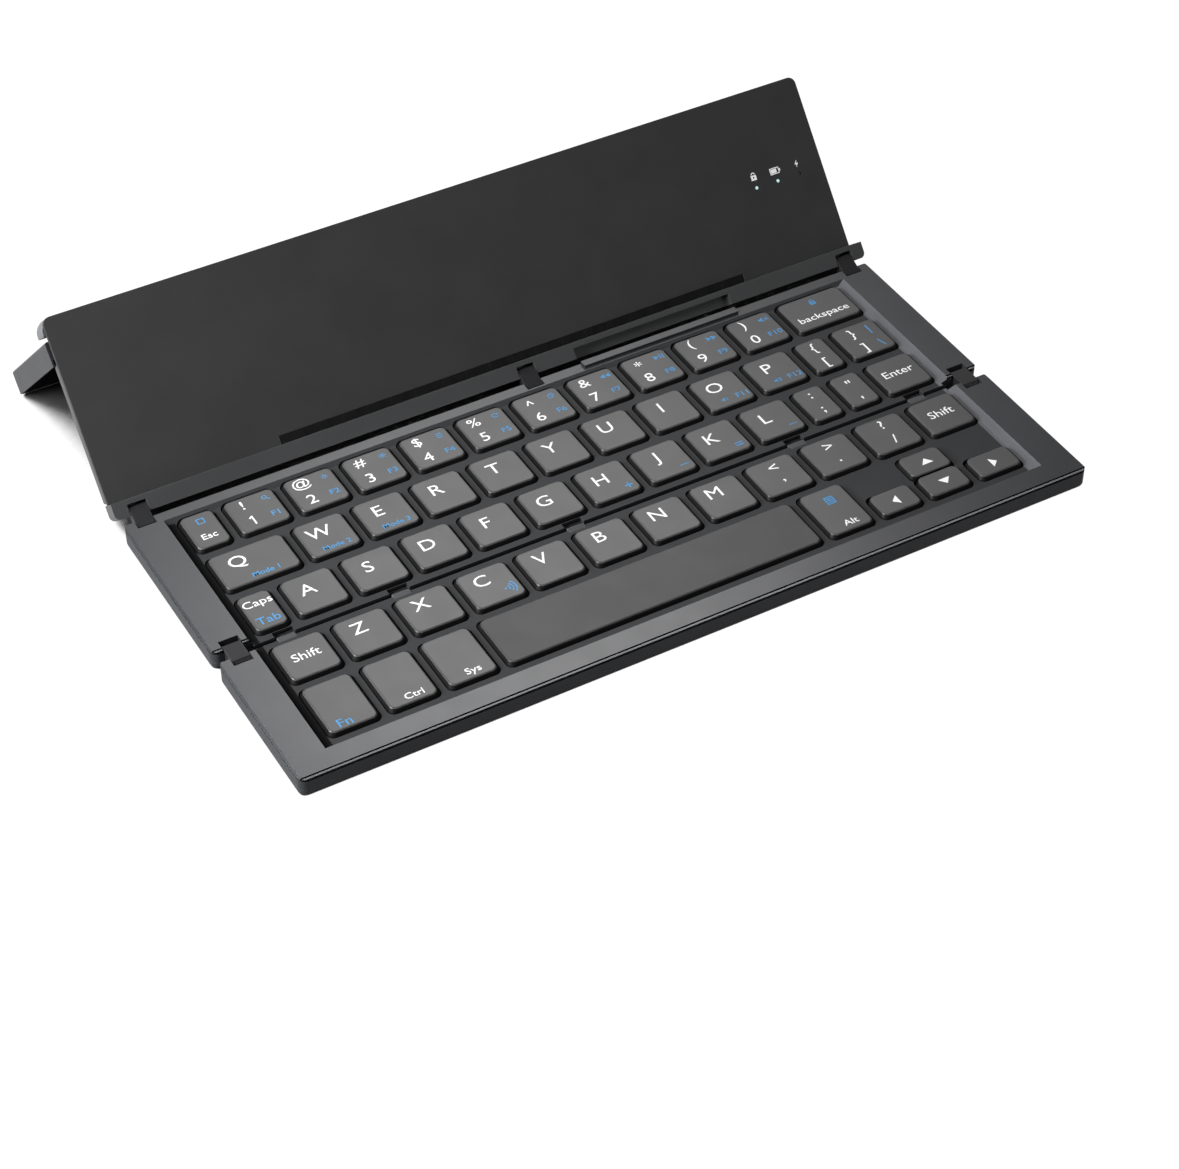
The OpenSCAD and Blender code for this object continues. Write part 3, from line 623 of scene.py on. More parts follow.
@dataclass
class Finishes:
    """The finishes of the keyboard, each made once."""

    panel: Finish = Finish("panel_satin", (54, 55, 58), 0.3, 0.0, 0.5, grain_size=0.22, grain_depth=0.003, wear_and_highlight=0.06)
    # painted light: the right slope of the well and the floor strip beside it, far lighter than the panel
    slope: Finish = Finish("well_slope", (104, 105, 109), 0.5, 0.1, 0.3, grain_depth=0.002, wear_and_highlight=0.0)
    # partly a polished band, partly a painted highlight: far lighter than the panel it is cut from
    bead: Finish = Finish("polished_bead_painted_highlight", (144, 146, 150), 0.26, 0.3, 0.5, grain_depth=0.002, wear_and_highlight=0.0)
    well: Finish = Finish("well_floor", (50, 51, 53), 0.45, 0.0, 0.2, grain_size=0.22, grain_depth=0.004, wear_and_highlight=0.1)
    cover: Finish = Finish("bottom_cover", (57, 58, 61), 0.5, 0.0, 0.1, grain_size=0.2, grain_depth=0.01)
    # near black: the dark seams along the front edge, and painted shade on the well floor's left strip and its wall
    seam_and_shade: Finish = Finish("dark_seam_and_painted_shade", (18, 18, 19), 0.7, 0.0, 0.1, grain_size=0.2, grain_depth=0.004, wear_and_highlight=0.0)
    cap: Finish = Finish("cap_top", (76, 76, 76), 0.36, 0.0, 0.5, grain_size=0.11, grain_depth=0.005)
    # painted shade: the space bar is a darker copy of the cap plastic, for its weaker sheen
    bar: Finish = Finish("bar_top_painted_shade", (68, 68, 68), 0.42, 0.0, 0.4, grain_size=0.11, grain_depth=0.005)
    # the caps' near-black sides; on the spine's inner edge the same colour is painted shade
    skirt: Finish = Finish("cap_skirt", (20, 20, 21), 0.45, 0.0, 0.25, wear_and_highlight=0.05)
    plate: Finish = Finish("lid_front", (58, 58, 59), 0.6, 0.0, 0.25, grain_size=0.12, grain_depth=0.01, wear_and_highlight=0.03)
    spine: Finish = Finish("lid_spine", (68, 69, 70), 0.45, 0.0, 0.35, grain_size=0.2, grain_depth=0.006)
    bumper: Finish = Finish("bumper_rubber", (84, 85, 87), 0.7, 0.0, 0.25, grain_size=0.25, grain_depth=0.015, wear_and_highlight=0.1)
    shell: Finish = Finish(
        "stand_shell", (40, 41, 44), 0.45, 0.1, 0.3, Grain.BRUSHED, grain_size=0.09, grain_depth=0.004, wear_and_highlight=0.35
    )
    # painted highlight: the edge strip is a lighter copy of the shell's metal
    strip: Finish = Finish(
        "edge_strip", (98, 100, 104), 0.36, 0.5, 0.5, Grain.BRUSHED, grain_size=0.09, grain_depth=0.004, wear_and_highlight=0.35
    )
    core: Finish = Finish("core_plastic", (70, 70, 72), 0.5, 0.0, 0.4, grain_size=0.2, grain_depth=0.012)
    link: Finish = Finish("hinge_link", (42, 42, 44), 0.45, 0.1, 0.3, grain_size=0.15)
    steel: Finish = Finish("pin_steel", (170, 170, 172), 0.28, 0.9, 0.5, Grain.BRUSHED, grain_size=0.06)
    rubber: Finish = Finish("foot_rubber", (34, 34, 35), 0.8, 0.0, 0.2, grain_size=0.25, grain_depth=0.02, wear_and_highlight=0.1)
    ledge: Finish = Finish("ledge_rubber", (20, 20, 21), 0.72, 0.0, 0.15, grain_size=0.3, grain_depth=0.03, wear_and_highlight=0.0)
    board: Finish = Finish("board_laminate", (28, 70, 48), 0.4, 0.0, 0.5, grain_size=0.6, grain_depth=0.01)
    mat: Finish = Finish("dome_silicone", (120, 120, 116), 0.5, 0.0, 0.4, grain_size=0.4, grain_depth=0.01)
    ribbon: Finish = Finish("flat_ribbon", (40, 38, 36), 0.4, 0.0, 0.4, Grain.RIBBED, grain_size=0.3)
    wrap: Finish = Finish("battery_wrap", (120, 122, 128), 0.35, 0.5, 0.5, grain_size=0.8, grain_depth=0.02)
    # the white print glows a little: painted light
    white: Finish = Finish(
        "print_white", (250, 250, 250), 0.5, 0.0, 0.2, grain_depth=0.003, mottle=0.02, wear_and_highlight=0.0, glow=0.2
    )
    blue: Finish = Finish("print_blue", (86, 158, 214), 0.5, 0.0, 0.2, grain_depth=0.003, mottle=0.03, wear_and_highlight=0.0)
    lit: Finish = Finish("lens_lit", (196, 236, 236), 0.25, 0.0, 0.5, grain_depth=0.002, wear_and_highlight=0.0, glow=0.5)
    unlit: Finish = Finish("lens_unlit", (26, 28, 30), 0.25, 0.0, 0.5, grain_depth=0.002, wear_and_highlight=0.0)
    made: dict[str, bpy.types.Material] = field(default_factory=dict)

    def __getitem__(self, name: str) -> bpy.types.Material:
        """Give the material of a finish, and make it the first time.

        Args:
            name: name of the finish's field.

        Returns:
            The material.
        """
        if name not in self.made:
            self.made[name] = getattr(self, name).make()
        return self.made[name]


# ---------------------------------------------------------------- print


def circle(x: float, y: float, radius: float, steps: int = 18) -> Loop:
    """Give the corners of a circle."""
    turns = [2 * math.pi * i / steps for i in range(steps)]
    return [(x + radius * math.cos(a), y + radius * math.sin(a)) for a in turns]


def ring(x: float, y: float, radius: float, width: float) -> list[Loop]:
    """Give the two outlines of a ring."""
    return [circle(x, y, radius), circle(x, y, radius - width)]


def arc(x: float, y: float, radius: float, width: float, start: float, end: float) -> Loop:
    """Give the outline of a part of a ring.

    Args:
        x: its middle.
        y: its middle.
        radius: outer radius.
        width: width of the band.
        start: first angle in degrees.
        end: last angle in degrees.

    Returns:
        The corners of the outline.
    """
    turns = [math.radians(start + (end - start) * i / 10) for i in range(11)]
    outer = [(x + radius * math.cos(a), y + radius * math.sin(a)) for a in turns]
    inner = [(x + (radius - width) * math.cos(a), y + (radius - width) * math.sin(a)) for a in reversed(turns)]
    return outer + inner


def bar(x0: float, y0: float, x1: float, y1: float, width: float) -> Loop:
    """Give the outline of a straight stroke.

    Args:
        x0: its start.
        y0: its start.
        x1: its end.
        y1: its end.
        width: its width.

    Returns:
        The corners of the outline.
    """
    across = Vector((y0 - y1, x1 - x0)).normalized() * width / 2
    return [
        (x0 + across.x, y0 + across.y),
        (x1 + across.x, y1 + across.y),
        (x1 - across.x, y1 - across.y),
        (x0 - across.x, y0 - across.y),
    ]


def frame_loops(x0: float, y0: float, x1: float, y1: float, width: float) -> list[Loop]:
    """Give the two outlines of a rectangular frame between two corners."""
    inner = (x0 + width, y0 + width, x1 - width, y1 - width)
    return [[(a, b), (c, b), (c, d), (a, d)] for a, b, c, d in ((x0, y0, x1, y1), inner)]


def rays(near: float, far: float, width: float) -> list[Loop]:
    """Give eight strokes round the middle, from one distance to another."""
    ways = [(math.cos(turn), math.sin(turn)) for turn in (math.radians(45 * i) for i in range(8))]
    return [bar(near * x, near * y, far * x, far * y, width) for x, y in ways]


SPEAKER: Loop = [(-0.5, -0.14), (-0.28, -0.14), (-0.05, -0.36), (-0.05, 0.36), (-0.28, 0.14), (-0.5, 0.14)]
DRAWINGS: dict[Sign, list[Loop]] = {
    Sign.SQUARE: frame_loops(-0.5, -0.5, 0.5, 0.5, 0.13),
    Sign.SEARCH: [*ring(-0.1, 0.1, 0.36, 0.12), bar(0.18, -0.18, 0.48, -0.48, 0.15)],
    Sign.DIM: [*ring(0, 0, 0.24, 0.1), *rays(0.32, 0.46, 0.1)],
    Sign.BRIGHT: [circle(0, 0, 0.2), *rays(0.3, 0.5, 0.11)],
    Sign.LIST: [bar(-0.4, y, 0.4, y, 0.13) for y in (-0.38, 0.0, 0.38)],
    Sign.TURN: [arc(0, 0, 0.45, 0.13, 40, 330), [(0.1, 0.05), (0.58, 0.05), (0.42, 0.42)]],
    Sign.SHEETS: [
        *frame_loops(-0.45, -0.5, 0.2, 0.2, 0.11),
        bar(-0.2, 0.44, 0.45, 0.44, 0.11),
        bar(0.4, 0.38, 0.4, -0.3, 0.11),
    ],
    Sign.BACK: [[(-0.75, 0), (-0.05, 0.45), (-0.05, -0.45)], [(0.0, 0), (0.7, 0.45), (0.7, -0.45)]],
    Sign.PLAY: [[(-0.8, 0.45), (-0.8, -0.45), (-0.1, 0)], *[bar(x, -0.45, x, 0.45, 0.18) for x in (0.12, 0.5)]],
    Sign.NEXT: [[(0.75, 0), (0.05, 0.45), (0.05, -0.45)], [(0.0, 0), (-0.7, 0.45), (-0.7, -0.45)]],
    Sign.MUTE: [
        SPEAKER,
        bar(0.12, -0.2, 0.5, 0.2, 0.1),
        bar(0.12, 0.2, 0.25, 0.07, 0.1),
        bar(0.37, -0.07, 0.5, -0.2, 0.1),
    ],
    Sign.QUIET: [SPEAKER, arc(-0.05, 0, 0.34, 0.1, -50, 50)],
    Sign.LOUD: [SPEAKER, arc(-0.05, 0, 0.34, 0.1, -50, 50), arc(-0.05, 0, 0.56, 0.1, -50, 50)],
    Sign.LOCK: [
        [(-0.34, -0.5), (0.34, -0.5), (0.34, 0.08), (-0.34, 0.08)],
        circle(0, -0.2, 0.1),
        arc(0, 0.14, 0.26, 0.11, 0, 180),
    ],
    Sign.MENU: [*frame_loops(-0.45, -0.5, 0.45, 0.5, 0.14), *[bar(-0.26, y, 0.26, y, 0.12) for y in (-0.2, 0.0, 0.2)]],
    Sign.WAVES: [circle(-0.4, 0, 0.1), *[arc(-0.4, 0, r, 0.11, -45, 45) for r in (0.38, 0.64, 0.9)]],
    Sign.UP: [[(-0.8, -0.5), (0.8, -0.5), (0, 0.5)]],
    Sign.DOWN: [[(-0.8, 0.5), (0.8, 0.5), (0, -0.5)]],
    Sign.LEFT: [[(0.28, -0.5), (0.28, 0.5), (-0.28, 0)]],
    Sign.RIGHT: [[(-0.28, -0.5), (-0.28, 0.5), (0.28, 0)]],
    Sign.BATTERY: [*frame_loops(-0.85, -0.5, 0.75, 0.5, 0.12), bar(-0.66, 0, 0.3, 0, 0.62), bar(0.79, 0, 0.95, 0, 0.4)],
    Sign.ONE: [[(0.0, -0.5), (0.13, -0.5), (0.13, 0.5), (0.02, 0.5), (-0.22, 0.3), (-0.14, 0.2), (0.0, 0.3)]],
    Sign.BOLT: [[(0.12, 0.5), (-0.28, -0.06), (-0.02, -0.06), (-0.12, -0.5), (0.28, 0.08), (0.02, 0.08)]],
}


@dataclass(frozen=True)
class Mark:
    """One printed letter, word or sign, placed by its middle from a cap's rear left corner."""

    what: str | Sign
    x: float
    y: float
    height: float
    ink: Ink = Ink.WHITE
    wide: float = 1.12


class Printer:
    """Prints marks as thin closed solids."""

    THICK = 0.03  # height of the print in millimetres
    BOLD = 0.078  # growth of a single letter's strokes in millimetres
    BOLD_WORDS = 0.06
    WEIGHT = 0.014  # growth that is left off, as a share of the letters' size

    def __init__(self) -> None:
        """Measure the letters once."""
        sample = self.letters("H", 1.0, 1.0)
        self.rise = sample.dimensions.y
        bpy.data.objects.remove(sample)

    def letters(self, words: str, size: float, wide: float) -> Piece:
        """Set words and make them a mesh.

        Args:
            words: what to set.
            size: size of the letters in metres.
            wide: stretch of the letters across.

        Returns:
            The flat words about their own place.
        """
        pick()
        bpy.ops.object.text_add(location=(0, 0, 0))
        piece = bpy.context.active_object
        piece.data.body = words
        piece.data.size = size
        piece.data.resolution_u = 3
        piece.data.extrude = self.THICK / 2 * MM
        bold = self.BOLD_WORDS if len(words) > 1 else self.BOLD
        piece.data.offset = max(0.0, bold * MM - self.WEIGHT * size)
        piece.scale = (wide, 1, 1)
        return self.as_mesh(piece)

    def drawn(self, sign: Sign, height: float) -> Piece:
        """Draw a sign and make it a mesh.

        Args:
            sign: what to draw.
            height: height of the sign in metres.

        Returns:
            The flat sign about its own place.
        """
        curve = bpy.data.curves.new(sign.value, "CURVE")
        curve.dimensions = "2D"
        curve.fill_mode = "BOTH"
        curve.extrude = self.THICK / 2 * MM
        for loop in DRAWINGS[sign]:
            spline = curve.splines.new("POLY")
            spline.points.add(len(loop) - 1)
            for point, (x, y) in zip(spline.points, loop):
                point.co = (x * height, y * height, 0, 1)
            spline.use_cyclic_u = True
        return self.as_mesh(put_in_scene(sign.value, curve))

    def as_mesh(self, piece: Piece) -> Piece:
        """Turn words or a curve into a closed mesh in place.

        Args:
            piece: the text or curve object.

        Returns:
            The mesh object.
        """
        pick(piece)
        bpy.ops.object.convert(target="MESH")
        settle(piece)
        with editing(piece):
            bpy.ops.mesh.select_all(action="SELECT")
            bpy.ops.mesh.remove_doubles(threshold=0.001 * MM)
            bpy.ops.mesh.normals_make_consistent(inside=False)
        return piece

    def put(self, mark: Mark, place: Matrix) -> Piece:
        """Print one mark.

        Args:
            mark: what to print.
            place: turns the mark's flat place, in metres, into the model's.

        Returns:
            The printed mark, with its ink as its material index.
        """
        if isinstance(mark.what, Sign):
            piece = self.drawn(mark.what, mark.height * MM)
        else:
            piece = self.letters(mark.what, mark.height * MM / self.rise, mark.wide)
        corners = [Vector(c) for c in piece.bound_box]
        middle = (corners[0] + corners[6]) / 2
        piece.data.transform(place @ Matrix.Translation(Vector((mark.x * MM, -mark.y * MM, 0)) - middle))
        piece.data.update()
        for polygon in piece.data.polygons:
            polygon.material_index = mark.ink.value
        return piece

    def sheet(self, name: str, marks: Sequence[tuple[Mark, Matrix]], finishes: Finishes) -> Piece:
        """Print several marks, each with its place, as one piece in both inks."""
        inks = ("white", "blue")
        return join(name, [coat(self.put(*mark), *[finishes[ink] for ink in inks]) for mark in marks])


# ---------------------------------------------------------------- caps


@dataclass(frozen=True)
class Row:
    """One row of caps: the rear edge and depth of its top faces, and their widths."""

    rear: float
    depth: float
    widths: tuple[float, ...]


@dataclass(frozen=True)
class Key:
    """One key: its solid, its place in its row and its print."""

    node: str
    row: int
    place: int
    marks: tuple[Mark, ...] = ()
    part: Part = Part.FULL


def digit_keys(node: str, start: int, symbols: str, digits: Sequence[str | Sign], signs: Sequence[Sign]) -> list[Key]:
    """Lay out digit keys, each with a symbol, a digit, a blue sign and a blue number.

    Args:
        node: the solid of the keys.
        start: place of the first key in its row.
        symbols: what stands over each digit.
        digits: the digits.
        signs: the blue signs.

    Returns:
        The keys.
    """
    keys = []
    for place, (symbol, digit, sign) in enumerate(zip(symbols, digits, signs), start):
        marks = (
            Mark(symbol, 4.2, 3.0, 3.3),
            Mark(digit, 4.2, 9.6, 3.5),
            blue(sign, 10.9, 3.0, 3.0 if sign is Sign.MUTE else 2.1),
            blue(f"F{place}", 10.8, 9.6, 1.9),
        )
        keys.append(Key(node, 0, place, marks))
    return keys


def letter_keys(row: int, start: int, letters: str, extra: dict[str, tuple[Mark, ...]]) -> list[Key]:
    """Lay out neighbouring letter keys, which share a solid.

    Args:
        row: their row.
        start: place of the first key in its row.
        letters: the letters from left to right.
        extra: more print, by letter.

    Returns:
        The keys.
    """
    down = {1: 4.9, 2: 5.4, 3: 4.3}[row]
    prints = [(Mark(letter, 5.4, down, 4.0), *extra.get(letter, ())) for letter in letters]
    return [Key(f"keys_{letters.lower()}", row, place, marks) for place, marks in enumerate(prints, start)]


def stacked(upper: str, lower: str, x: float, high: float = 3.2, low: float = 10.4) -> tuple[Mark, ...]:
    """Give the print of a key with one symbol over another."""
    return (Mark(upper, x, high, 3.3), Mark(lower, x, low, 3.3))


def blue(what: str | Sign, x: float, y: float, height: float) -> Mark:
    """Give a blue mark."""
    return Mark(what, x, y, height, Ink.BLUE)


@dataclass
class Keyboard:
    """The caps of both panels and their print, sizes in millimetres."""

    finishes: Finishes
    printer: Printer
    left: float = -102.3
    gap: float = 3.6
    low_z: float = 2.6
    shoulder_z: float = 3.7
    top_z: float = 5.25
    ceiling_z: float = 4.45
    skirt: float = 0.75
    facing_skirt: float = 0.2
    corner: float = 1.8
    rim: float = 0.32
    wall: float = 0.8
    half_depth: float = 8.15
    long_from: float = 40.0
    rows: tuple[Row, ...] = (
        Row(22.7, 13.4, (8.9, *[13.6] * 10, 20.1)),
        Row(5.05, 13.4, (20.5, *[13.6] * 9, 8.6, 13.5)),
        Row(-12.6, 13.4, (8.4, *[13.6] * 9, 8.5, 8.4, 13.7)),
        Row(-33.1, 13.4, (13.3, *[13.8] * 10, 13.7)),
        Row(-50.3, 17.1, (12.8, 12.8, 13, 91.8, 12.5, 11.7, 12.2, 12.6)),
    )
    shapes: dict[tuple[float, float, Part], Piece] = field(default_factory=dict)

    def keys(self) -> list[Key]:
        """List every key with its print.

        Returns:
            The keys from the rear left to the front right.
        """
        extra = {letter: (blue(sign, 11.0, 10.8, 3.0),) for letter, sign in zip("HJKL", "+\u2013=_")}
        extra |= {letter: (blue(f"Mode {number}", 7.6, 11.3, 1.6),) for number, letter in enumerate("WE", start=2)}
        for letter, sign, number in (("O", Sign.QUIET, "F11"), ("P", Sign.LOUD, "F12")):
            extra[letter] = (blue(sign, 5.4, 10.6, 2.3), blue(number, 10.9, 10.6, 1.9))
        extra["C"] = (blue(Sign.WAVES, 11.0, 9.8, 3.4),)
        left_signs = (Sign.SEARCH, Sign.DIM, Sign.BRIGHT, Sign.LIST, Sign.TURN)
        right_signs = (Sign.SHEETS, Sign.BACK, Sign.PLAY, Sign.NEXT, Sign.MUTE)
        return [
            Key("key_esc", 0, 0, (blue(Sign.SQUARE, 4.7, 3.2, 2.2), Mark("Esc", 4.5, 9.4, 2.1))),
            *digit_keys("keys_digits_left", 1, "!@#$%", (Sign.ONE, *"2345"), left_signs),
            *digit_keys("keys_digits_right", 6, "^&*()", "67890", right_signs),
            Key("key_backspace", 0, 11, (blue(Sign.LOCK, 10.0, 3.0, 2.6), Mark("backspace", 10.0, 9.6, 2.3, wide=1.2))),
            Key("key_q", 1, 0, (Mark("Q", 6.4, 4.9, 4.0), blue("Mode 1", 11.5, 11.3, 1.6))),
            *letter_keys(1, 1, "WER", extra),
            *letter_keys(1, 4, "TYU", extra),
            *letter_keys(1, 7, "IOP", extra),
            Key("key_bracket_left", 1, 10, stacked("{", "[", 4.3, 3.8, 10.6)),
            Key(
                "key_bracket_right",
                1,
                11,
                (*stacked("}", "]", 4.9, 3.8, 10.6), blue("|", 10.4, 3.8, 3.0), blue("\\", 10.4, 10.4, 3.0)),
            ),
            Key("key_caps_lock", 2, 0, (Mark("Caps", 4.2, 3.9, 2.5), blue("Tab", 4.2, 10.4, 2.6))),
            *letter_keys(2, 1, "ASD", extra),
            *letter_keys(2, 4, "FGH", extra),
            *letter_keys(2, 7, "JKL", extra),
            Key("key_semicolon", 2, 10, stacked(":", ";", 4.2, 3.3, 10.2)),
            Key("key_quote", 2, 11, stacked('"', "'", 4.2, 3.2, 10.9)),
            Key("key_enter", 2, 12, (Mark("Enter", 6.9, 6.2, 2.7),)),
            Key("key_shift_left", 3, 0, (Mark("Shift", 6.7, 6.3, 2.7),)),
            *letter_keys(3, 1, "ZXCVB", extra),
            *letter_keys(3, 6, "NM", extra),
            Key("keys_nm", 3, 8, stacked("<", ",", 7.1, 3.2, 9.3)),
            Key("keys_nm", 3, 9, stacked(">", ".", 7.1, 3.2, 9.8)),
            Key("keys_nm", 3, 10, stacked("?", "/", 7.3, 2.8, 9.3)),
            Key("key_shift_right", 3, 11, (Mark("Shift", 6.9, 6.3, 2.7),)),
            Key("key_fn", 4, 0, (blue("Fn", 4.6, 15.0, 2.7),)),
            Key("key_ctrl", 4, 1, (Mark("Ctrl", 7.2, 14.8, 2.0),)),
            Key("key_system", 4, 2, (Mark("Sys", 7.3, 14.8, 2.1),)),
            Key("key_space", 4, 3),
            Key("key_alt", 4, 4, (blue(Sign.MENU, 6.8, 4.8, 3.0), Mark("Alt", 7.0, 14.4, 2.1))),
            Key("key_arrow_left", 4, 5, (Mark(Sign.LEFT, 5.7, 4.4, 3.4),), Part.FRONT),
            Key("key_arrow_up", 4, 6, (Mark(Sign.UP, 6.4, 4.0, 2.2),), Part.REAR),
            Key("key_arrow_down", 4, 6, (Mark(Sign.DOWN, 6.4, 4.4, 2.2),), Part.FRONT),
            Key("key_arrow_right", 4, 7, (Mark(Sign.RIGHT, 6.2, 4.4, 3.4),), Part.FRONT),
        ]

    def depth(self, key: Key) -> float:
        """Give the depth of a key's top face."""
        return self.rows[key.row].depth if key.part is Part.FULL else self.half_depth

    def corner_of(self, key: Key) -> tuple[float, float]:
        """Give the rear left corner of a key's top face.

        Args:
            key: the key.

        Returns:
            Its x and y in millimetres.
        """
        row = self.rows[key.row]
        x = self.left + sum(row.widths[: key.place]) + self.gap * key.place
        front = row.rear - row.depth
        return x, front + self.half_depth if key.part is Part.FRONT else row.rear

    def cap(self, width: float, depth: float, part: Part) -> Piece:
        """Model one cap about the middle of its top face.

        Args:
            width: width of the top face.
            depth: depth of the top face.
            part: which share of its row the cap takes.

        Returns:
            The cap, with its skirt as its second material.
        """
        rear = self.facing_skirt if part is Part.FRONT else self.skirt
        front = self.facing_skirt if part is Part.REAR else self.skirt
        low = (-width / 2 - self.skirt, -depth / 2 - front, self.low_z)
        high = (width / 2 + self.skirt, depth / 2 + rear, self.shoulder_z)
        piece = block("cap", low, high)
        with editing(piece):
            pick_edges(piece, lambda a, b: abs(a.z - b.z) > 0.5)
            bevel(self.corner, 6)
            pick_faces(piece, lambda c, n: n.z > FACING)
            extrude(y=(front - rear) / 2, z=self.top_z - self.shoulder_z)
            spread = (width / (width + 2 * self.skirt), depth / (depth + front + rear), 1)
            bpy.ops.transform.resize(value=spread, center_override=(0, 0, self.top_z * MM))
            pick_edges(piece, lambda a, b: min(a.z, b.z) > self.top_z - 0.01)
            bevel(self.rim, 3)
            pick_faces(piece, lambda c, n: n.z < -FACING)
            bpy.ops.mesh.inset(thickness=self.wall * MM)
            extrude(z=self.ceiling_z - self.low_z)
        shade(piece, 40)
        for polygon in piece.data.polygons:
            polygon.material_index = 0 if polygon.center.z > (self.top_z - self.rim) * MM else 1
        # the space bar takes the darker copy of the cap plastic, painted shade
        top = "bar" if width > self.long_from else "cap"
        return coat(piece, self.finishes[top], self.finishes["skirt"])

    def placed_cap(self, key: Key) -> Piece:
        """Copy a key's cap to its place, and model its shape the first time.

        Args:
            key: the key.

        Returns:
            The cap in place.
        """
        width, depth = self.rows[key.row].widths[key.place], self.depth(key)
        shape = (width, depth, key.part)
        if shape not in self.shapes:
            self.shapes[shape] = self.cap(*shape)
        x, y = self.corner_of(key)
        return copy_of(self.shapes[shape], key.node, (x + width / 2, y - depth / 2, 0))

    def build(self) -> None:
        """Build the caps and the print of every key node."""
        groups: dict[str, list[Key]] = {}
        for key in self.keys():
            groups.setdefault(key.node, []).append(key)
        for node, keys in groups.items():
            kind, name = node.split("_", 1)
            body = f"{name}_{kind}"
            caps = join(f"{name}_caps", [self.placed_cap(key) for key in keys])
            hand_over(caps, body, "key_plastic", node)
            marks = [
                (mark, Matrix.Translation(Vector((*self.corner_of(key), self.top_z + LIFT)) * MM))
                for key in keys
                for mark in key.marks
            ]
            if marks:
                hand_over(self.printer.sheet(f"{name}_print", marks, self.finishes), body, "key_plastic")
        for shape in self.shapes.values():
            bpy.data.objects.remove(shape)


# ---------------------------------------------------------------- panels


